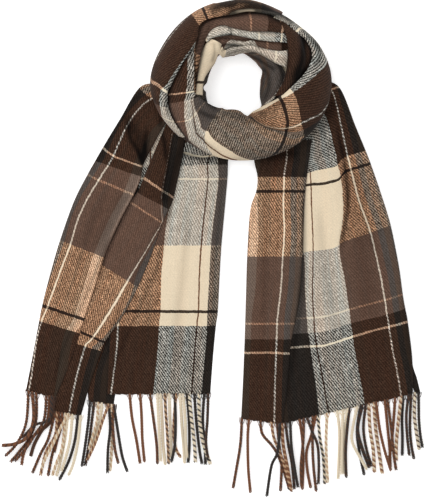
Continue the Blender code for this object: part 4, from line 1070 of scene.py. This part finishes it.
            (49.5, -111.8, 124.5, -112.5), (48.8, -135, 119.5, -136), (48, -156, 116.5, -159),
            (46, -204, 112.5, -207), (43.5, -252.8, 106.5, -261),
        ),
        "warp": (
            (52.5, ((286, 160), (283, 175), (282.7, 191.5), (283, 218), (284, 231), (282, 255), (280, 289),
                (277, 313), (276, 337), (274, 385), (273.8, 421))),
        ),
        "weft": (
            (366, ((250, 177), (305, 177))), (345, ((250, 191.5), (305, 191.5))),
            (246, ((248, 257.4), (303, 257.4))), (144, ((246, 324), (296, 324))),
            (121.5, ((245, 339.3), (294, 339.3))), (103.5, ((245, 353.5), (270, 353.2), (290, 354.6))),
            (3, ((241, 417.5), (283, 423))),
        ),
        "dark": (
            (0.75, 2.6, ((305, 160), (303, 200), (303, 240), (302.5, 262), (299, 300), (294, 336),
                (288, 380))),
            (0.6, 7, ((252, 158), (276, 156), (300, 152))),
            (0.2, 6, ((270, 170), (266, 230), (264, 300), (262, 380))),
        ),
        "creases": (
            (1.0, 8, ((262, 180), (258, 250), (256, 330))), (1.1, 7, ((290, 190), (292, 260), (288, 330))),
            (-0.6, 4, ((299, 200), (300, 260), (296, 320))),
        ),
    },
}
for name, spec in tailPieces.items():
    dress(name, spec, tailSurface(name, spec))
print("tails made")

# the tassels

tassels = {
    # height over the table, rise over each strand below, how long and how full the rise is
    "clear": 0.15, "liftEach": 4.6, "arch": (0.95, 0.7),
    # a ply's thickness and its way from the strand's middle, more for each ply over two, and the twist
    "ply": 1.40, "apart": 1.20, "widerEach": 0.35, "twist": 8.5, "yarnRound": 6.7,
    "sides": 6, "step": 1.4, "samples": 120, "corner": 0.012,
    # a strand starts this far out from the hem, this far under its top (read this far inside), and
    # comes down to the table over this share of its length
    "rootOut": 0.6, "rootBelow": 1.1, "hemInside": 1.2, "down": 0.4,
    # plies close up and thin out over this length at the hem, and part and thin out at the tip
    "closeOver": 9, "closeUp": 0.5, "tipOver": 9, "tipPart": 0.5, "tipThinOver": 5, "thinner": 0.35,
    # yarns of the hem that run into each strand: place along the hem, reach into the strand
    "tuft": ((-4.2, 10.5), (-1.9, 8.0), (1.7, 8.5), (4.0, 10.0)), "tuftYarn": 0.5, "tuftSides": 4, "tuftPoints": 7,
    "tuftInside": 0.9, "tuftBelow": 0.9, "tuftHem": 0.8, "tuftLowest": 0.7, "tuftBow": 0.35,
}
# each strand: its plies, strands it lifts over, and its line in the photo's frame, from the hem to the tip
fringes = {
    "fringe_left_outer": ("left_flap_outer", (
        ("bn", 1, ((28.5, 395), (27, 417), (23.2, 432), (15, 446), (5.2, 456))),
        ("bbn", 2, ((32.2, 394.5), (33.7, 418), (28, 436), (16, 443.5), (2.4, 445.5))),
        ("nb", 0, ((36.5, 396), (36, 420), (28.5, 439.4), (19.5, 451.4), (10.5, 462))),
        ("bn", 1, ((46.5, 397.5), (44, 420), (34.5, 435), (27, 447), (15, 461))),
        ("bb", 0, ((49.5, 399), (46.5, 423), (31.5, 438), (24, 453), (21.7, 465))),
        ("kn", 2, ((52, 399), (49.5, 419), (35, 425), (22.5, 438))),
        ("nnn", 0, ((53.6, 399), (51, 420), (42, 430.4), (34.5, 444), (30.7, 456))),
    )),
    "fringe_left_inner": ("left_flap_inner", (
        ("nb", 0, ((55.4, 415.5), (48.5, 438), (40.5, 454), (32.4, 473))),
        ("bt", 1, ((56.8, 418.5), (55.5, 434), (46, 452), (40.5, 475.4))),
        ("nb", 0, ((59.5, 420), (56.6, 437), (51.7, 457), (48, 476))),
        ("ct", 2, ((69, 415.5), (60.5, 428), (52.5, 445), (45.5, 458), (42, 468))),
        ("bbn", 0, ((62.5, 415), (60.5, 428), (57, 440), (54, 452))),
        ("ct", 1, ((65.5, 416), (62.5, 446), (56.5, 463), (52.5, 475.5))),
        ("cc", 0, ((68, 418), (65, 438), (60.5, 461), (56.5, 476))),
        ("cc", 1, ((72.5, 417), (70, 440), (65, 460), (61.5, 471))),
        ("kk", 0, ((78, 415.5), (75, 439.5), (69, 460.5), (59.2, 480))),
        ("cc", 1, ((80.6, 417), (78.2, 440), (73.5, 463), (68.4, 475.5))),
    )),
    "fringe_left_fold": ("left_under_fold", (
        ("kk", 1, ((90, 397.5), (88.5, 420), (85.4, 444), (81.9, 466.4))),
        ("kn", 0, ((94.4, 399), (91.6, 423), (88.5, 447), (85.2, 465.7))),
        ("tc", 1, ((98.2, 403.5), (97, 421), (92.6, 437), (89, 450))),
        ("cc", 0, ((102, 403.5), (100, 422), (94, 440), (91, 447))),
        ("bt", 2, ((109, 398), (103.4, 418.5), (96, 441), (87.4, 460))),
        ("kk", 1, ((108.7, 403.5), (110.2, 427.5), (108, 450), (107.5, 473))),
        ("ct", 0, ((111.7, 405), (112.6, 428), (111.6, 450), (110.2, 471))),
        ("bn", 1, ((113.4, 397.5), (112.8, 424.5), (114.9, 448.4), (118.4, 463.4))),
        ("kk", 0, ((113.7, 405), (118, 432), (122.2, 456), (127.4, 471.7))),
    )),
    "fringe_left_panel": ("left_panel", (
        ("bb", 0, ((129.6, 393.7), (131.9, 417), (136.4, 440), (140.1, 463.4))),
        ("bb", 1, ((140.1, 393.7), (141.6, 417), (142.4, 439.4), (144.6, 462))),
        ("bn", 0, ((149.9, 393.7), (153.6, 420), (156.6, 444), (157.4, 464))),
        ("cc", 1, ((157.4, 394.2), (158.6, 420), (159.8, 442), (160.6, 461))),
        ("cc", 0, ((160.6, 394.5), (162.1, 420), (163.1, 444), (165.3, 465))),
        ("nt", 1, ((164.9, 393.7), (165.6, 410), (167.3, 434), (168.8, 464))),
        ("cc", 0, ((169.2, 395), (170, 420), (170.9, 440), (171.4, 458))),
        ("kk", 1, ((174.6, 393.7), (175.6, 420), (174.8, 445), (171.4, 462))),
        ("bt", 0, ((176, 394), (173.6, 430), (175.8, 448), (180.8, 457.4))),
        ("cc", 0, ((180, 393.7), (182.1, 427.5), (183.6, 445), (184.6, 463.4))),
        ("cc", 1, ((183, 393.7), (185.2, 420), (185.6, 440), (187.2, 458))),
        ("kk", 0, ((186.6, 393.7), (188.8, 417), (189.4, 444), (188.1, 462.7))),
        ("kcc", 1, ((189, 393.7), (191.4, 417), (194.4, 444), (195.4, 462))),
        ("kk", 0, ((194.3, 393.7), (196.2, 420), (199.2, 448), (202, 464))),
        ("kcc", 1, ((198.8, 393.7), (199.6, 420), (203.4, 444), (210.5, 464))),
        ("kk", 0, ((204.2, 393.7), (202.8, 420), (204.6, 444), (205.5, 464.5))),
        ("kn", 2, ((208.2, 393.7), (207.4, 420), (206, 442), (208.4, 460))),
    )),
    "fringe_right_left": ("right_panel_left", (
        ("bn", 0, ((241.9, 421.8), (240.4, 444), (236.2, 470), (233, 488))),
        ("bb", 1, ((249, 421.8), (247.7, 437.6), (248.3, 469), (250.5, 492.6))),
        ("bn", 0, ((260.4, 421.8), (262.3, 433.9), (271.4, 444.8), (277.4, 454), (283.5, 470),
            (289.5, 489.7))),
        ("bt", 1, ((271.4, 423), (273.8, 437.6), (279.8, 452), (285.9, 470), (291.6, 491.5))),
        ("bn", 0, ((277, 425.4), (279.2, 444.8), (281.6, 464), (280.4, 491))),
        ("kk", 2, ((280.4, 424.2), (277.4, 452), (271.4, 466), (266.8, 496.2))),
        ("bbt", 1, ((282, 424.2), (283.2, 444.8), (287.6, 468), (290.8, 488))),
    )),
    "fringe_right_main": ("right_panel_main", (
        ("kn", 0, ((285.3, 423), (288.3, 444.8), (292, 464.2), (294.4, 489))),
        ("kk", 1, ((290.1, 420.6), (291.3, 444.8), (294.6, 468), (298, 487.2))),
        ("bb", 0, ((299.2, 418.2), (302.3, 438.8), (303.2, 463), (302.3, 489.6))),
        ("bn", 1, ((303.6, 418.2), (303.2, 440), (300.9, 466), (301.6, 486))),
        ("bb", 0, ((316, 418), (311.3, 435), (306.5, 452), (307.3, 470), (310.7, 488))),
        ("nk", 2, ((306.8, 417), (312, 431.5), (317.4, 444.8), (318.8, 464), (318.4, 484))),
        ("bn", 1, ((312.6, 418.2), (312.5, 444.8), (313.6, 468), (316.2, 491.4))),
        ("kc", 0, ((317.8, 415.7), (319.8, 437.6), (323.3, 458), (324.7, 484))),
        ("ct", 1, ((327.1, 411), (326, 437.6), (326.5, 463), (327.7, 482.5))),
        ("cc", 0, ((337, 411), (339.4, 432), (339, 456), (338, 479))),
        ("cc", 1, ((342.8, 409.7), (342.4, 432.7), (341.8, 455), (341.8, 474))),
        ("cc", 0, ((347.7, 408.5), (345, 430), (343.8, 454.5), (343.5, 474))),
        ("kn", 1, ((349.5, 407.3), (347.3, 427.9), (345.7, 452), (346.3, 477.6))),
        ("cc", 2, ((357.4, 406), (352.6, 427.9), (352.4, 442.4), (361, 459), (367, 469))),
        ("kk", 0, ((360.6, 406), (357, 430), (359.4, 452), (364.2, 475))),
        ("kkn", 1, ((362.6, 406), (357.6, 427.9), (362, 448), (369.5, 467.4))),
        ("kn", 0, ((365.9, 408.5), (363.4, 427.9), (366.6, 450), (371.9, 466.2))),
        ("cbt", 1, ((368.6, 406), (369.8, 427.9), (373.2, 450), (374.4, 472))),
        ("tbc", 0, ((373.7, 402.4), (375.6, 427.9), (379, 452), (382.2, 473.4))),
        ("bb", 2, ((375.9, 402.4), (379.4, 427.9), (385, 452), (391, 470.4))),
        ("bb", 0, ((384.6, 401.2), (387.6, 427.9), (389.7, 450), (390.3, 468))),
        ("bn", 1, ((387.2, 401.2), (391.4, 430.3), (393.7, 454.5), (396.2, 470))),
        ("bb", 0, ((395, 400), (393.7, 418.2), (391.6, 442), (389, 460))),
        ("cbt", 1, ((401.2, 395.1), (398.6, 418.2), (396.4, 442), (396.2, 460.2))),
        ("kk", 0, ((403.2, 395.1), (402, 418.2), (402.4, 437.6), (402.2, 455.4))),
        ("kn", 1, ((408.6, 394), (406.3, 414.5), (407.1, 436), (409.3, 455.4))),
        ("kn", 0, ((411, 394), (409.9, 425), (411.2, 444), (414, 459))),
    )),
    "fringe_right_fold": ("right_under_fold", (
        ("ccn", 0, ((414.8, 392.7), (414.4, 416), (416.8, 435.1), (419.2, 449.4))),
        ("kk", 1, ((418.6, 395.1), (418.8, 418.2), (420.4, 436), (422.6, 447.4))),
    )),
}


def strandLine(panel, tree, points, lift):
    # the strand's middle line from inside the hem to its tip, and the hem's own direction
    leftX, leftY, rightX, rightY = tailPieces[panel]["rows"][-1]
    points = [spot(*p) for p in points]
    share = min(max((points[0][0] - leftX) / (rightX - leftX), tassels["corner"]), 1 - tassels["corner"])
    hem = np.array([rightX - leftX, rightY - leftY])
    root = np.array([leftX, leftY]) + hem * share
    hem /= np.linalg.norm(hem)
    root += np.array([hem[1], -hem[0]]) * tassels["rootOut"]
    start = topOf(tree, root[0], root[1] + tassels["hemInside"]) - tassels["rootBelow"]
    flat = smoothRows([tuple(root)] + points[1:], tassels["samples"])
    t = np.linspace(0, 1, tassels["samples"])
    low = tassels["clear"] + tassels["apart"] * (1 + tassels["widerEach"]) + tassels["ply"]
    z = start + (low - start) * ease(t / tassels["down"])
    stretch, power = tassels["arch"]
    z += lift * tassels["liftEach"] * np.sin(math.pi * np.clip(t * stretch, 0, 1)) ** power
    line = np.concatenate([flat, np.maximum(z, low)[:, None]], axis=1)
    arc = arcLength(line)
    places = np.linspace(0, arc[-1], int(arc[-1] / tassels["step"]) + 1)
    return np.stack([np.interp(places, arc, line[:, k]) for k in range(3)], axis=1), places, hem


def sidesOf(line):
    # sideways and upward directions along a line
    tangent = np.gradient(line, axis=0)
    tangent /= np.linalg.norm(tangent, axis=1, keepdims=True)
    side = np.cross(tangent, [0, 0, 1.0])
    side /= np.maximum(np.linalg.norm(side, axis=1, keepdims=True), 1e-6)
    return side, np.cross(side, tangent)


def addTube(made, line, thin, sides, key, lengths):
    # a closed tube of yarn along a line
    places, faces, kinds, coordinates = made
    side, up = sidesOf(line)
    first, count = len(places), len(line)
    for k in range(sides):
        a = 2 * math.pi * k / sides
        places.extend(line + (side * math.cos(a) + up * math.sin(a)) * thin)
        coordinates.extend((length, k / sides * tassels["yarnRound"]) for length in lengths)
        here, there = first + k * count, first + (k + 1) % sides * count
        faces.extend((here + s, here + s + 1, there + s + 1, there + s) for s in range(count - 1))
    ends = [first + k * count for k in range(sides)]
    faces += [tuple(ends), tuple(k + count - 1 for k in reversed(ends))]
    kinds.extend([key] * (sides * (count - 1) + 2))


def addFringe(name, panel, strands):
    made = places, faces, kinds, coordinates = [], [], [], []
    tree = solidTree(panel)
    for number, (plies, lift, points) in enumerate(strands):
        line, arc, hem = strandLine(panel, tree, points, lift)
        side, up = sidesOf(line)
        toTip = arc - arc[-1]
        closed = ease(1 - arc / tassels["closeOver"])
        wide = tassels["apart"] * (1 + tassels["widerEach"] * (len(plies) - 2))
        for ply, key in enumerate(plies):
            turn = (arc / tassels["twist"] * 2 * math.pi + 2 * math.pi * ply / len(plies) + number)[:, None]
            apart = wide * (1 - tassels["closeUp"] * closed)
            apart += tassels["tipPart"] * ease((toTip + tassels["tipOver"]) / tassels["tipOver"])
            middle = line + (side * np.cos(turn) + up * np.sin(turn)) * apart[:, None]
            tip = ease((toTip + tassels["tipThinOver"]) / tassels["tipThinOver"])
            thin = tassels["ply"] * (1 - tassels["thinner"] * tip - tassels["thinner"] * closed)
            addTube(made, middle, thin[:, None], tassels["sides"], key, arc)
        # a few yarns of the hem run into the strand
        hemWay, inWay = np.array([hem[0], hem[1], 0]), np.array([-hem[1], hem[0], 0])
        for k, (offset, reach) in enumerate(tassels["tuft"]):
            end = np.array([np.interp(reach + (number * 7 + k * 3) % 4, arc, line[:, axis]) for axis in range(3)])
            start = line[0] + hemWay * offset + inWay * tassels["tuftInside"]
            start[2] = max(topOf(tree, start[0], start[1] + tassels["tuftHem"]) - tassels["tuftBelow"],
                           tassels["tuftLowest"])
            t = np.linspace(0, 1, tassels["tuftPoints"])[:, None]
            bowed = start + (end - start) * t + hemWay * offset * tassels["tuftBow"] * np.sin(math.pi * t)
            addTube(made, bowed, tassels["tuftYarn"], tassels["tuftSides"], plies[k % len(plies)],
                    np.linspace(0, reach, tassels["tuftPoints"]))
    piece = addPiece(name + "_tassels", places, faces)
    addCoordinates(piece.data, "cloth", *np.array(coordinates).T)
    keys = sorted(set(kinds))
    for key in keys:
        piece.data.materials.append(yarns[key])
    piece.data.polygons.foreach_set("material_index", [keys.index(key) for key in kinds])
    return piece


for name, (panel, strands) in fringes.items():
    piece = addFringe(name, panel, strands)
    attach(piece, "root")
    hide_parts(name)
print("tassels made")

# hidden layers keep their solids

for name in ("ring_core", "ring_base_back", "ring_base_front", "left_tail_core", "right_tail_core"):
    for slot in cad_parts[name].material_slots:
        slot.material = hiddenPlaid

# table, light and camera

studio = {
    "floorSize": 8, "floor": 0.94, "floorRoughness": 0.9, "glow": 0.45, "sky": 0.82,
    "key": 22.0, "keyPlace": (-1.0, 1.2, 2.0), "keySize": 1.4, "farthest": 50.0,
}
bpy.ops.mesh.primitive_plane_add(size=studio["floorSize"], location=(0, 0, 0))
floor = bpy.context.object
floor.name = "table"
paint = Nodes("paleTable")
for socket, value in (("Base Color", (studio["floor"], studio["floor"], studio["floor"], 1)),
                      ("Roughness", studio["floorRoughness"]), ("Emission Color", white),
                      ("Emission Strength", studio["glow"])):
    paint.shader.inputs[socket].default_value = value
floor.data.materials.append(paint.material)

world = bpy.data.worlds.new("studio")
bpy.context.scene.world = world
world.use_nodes = True
world.node_tree.nodes["Background"].inputs["Color"].default_value = white
world.node_tree.nodes["Background"].inputs["Strength"].default_value = studio["sky"]
bpy.ops.object.light_add(type="AREA", location=studio["keyPlace"])
key = bpy.context.object
key.data.energy, key.data.size = studio["key"], studio["keySize"]
key.rotation_euler = Vector(studio["keyPlace"]).to_track_quat("Z", "Y").to_euler()

cameraX, cameraY, _ = partPlace(*spot(view["frameX"], view["frameY"]))
distance = view["frameHigh"] / 1000 * view["lens"] / view["sensor"]
bpy.ops.object.camera_add(location=(cameraX, cameraY, distance), rotation=(0, 0, 0))
camera = bpy.context.object
camera.data.lens = view["lens"]
camera.data.clip_end = studio["farthest"]
bpy.context.scene.camera = camera
bpy.context.scene.view_settings.view_transform = "Standard"
print("table, light and camera set")
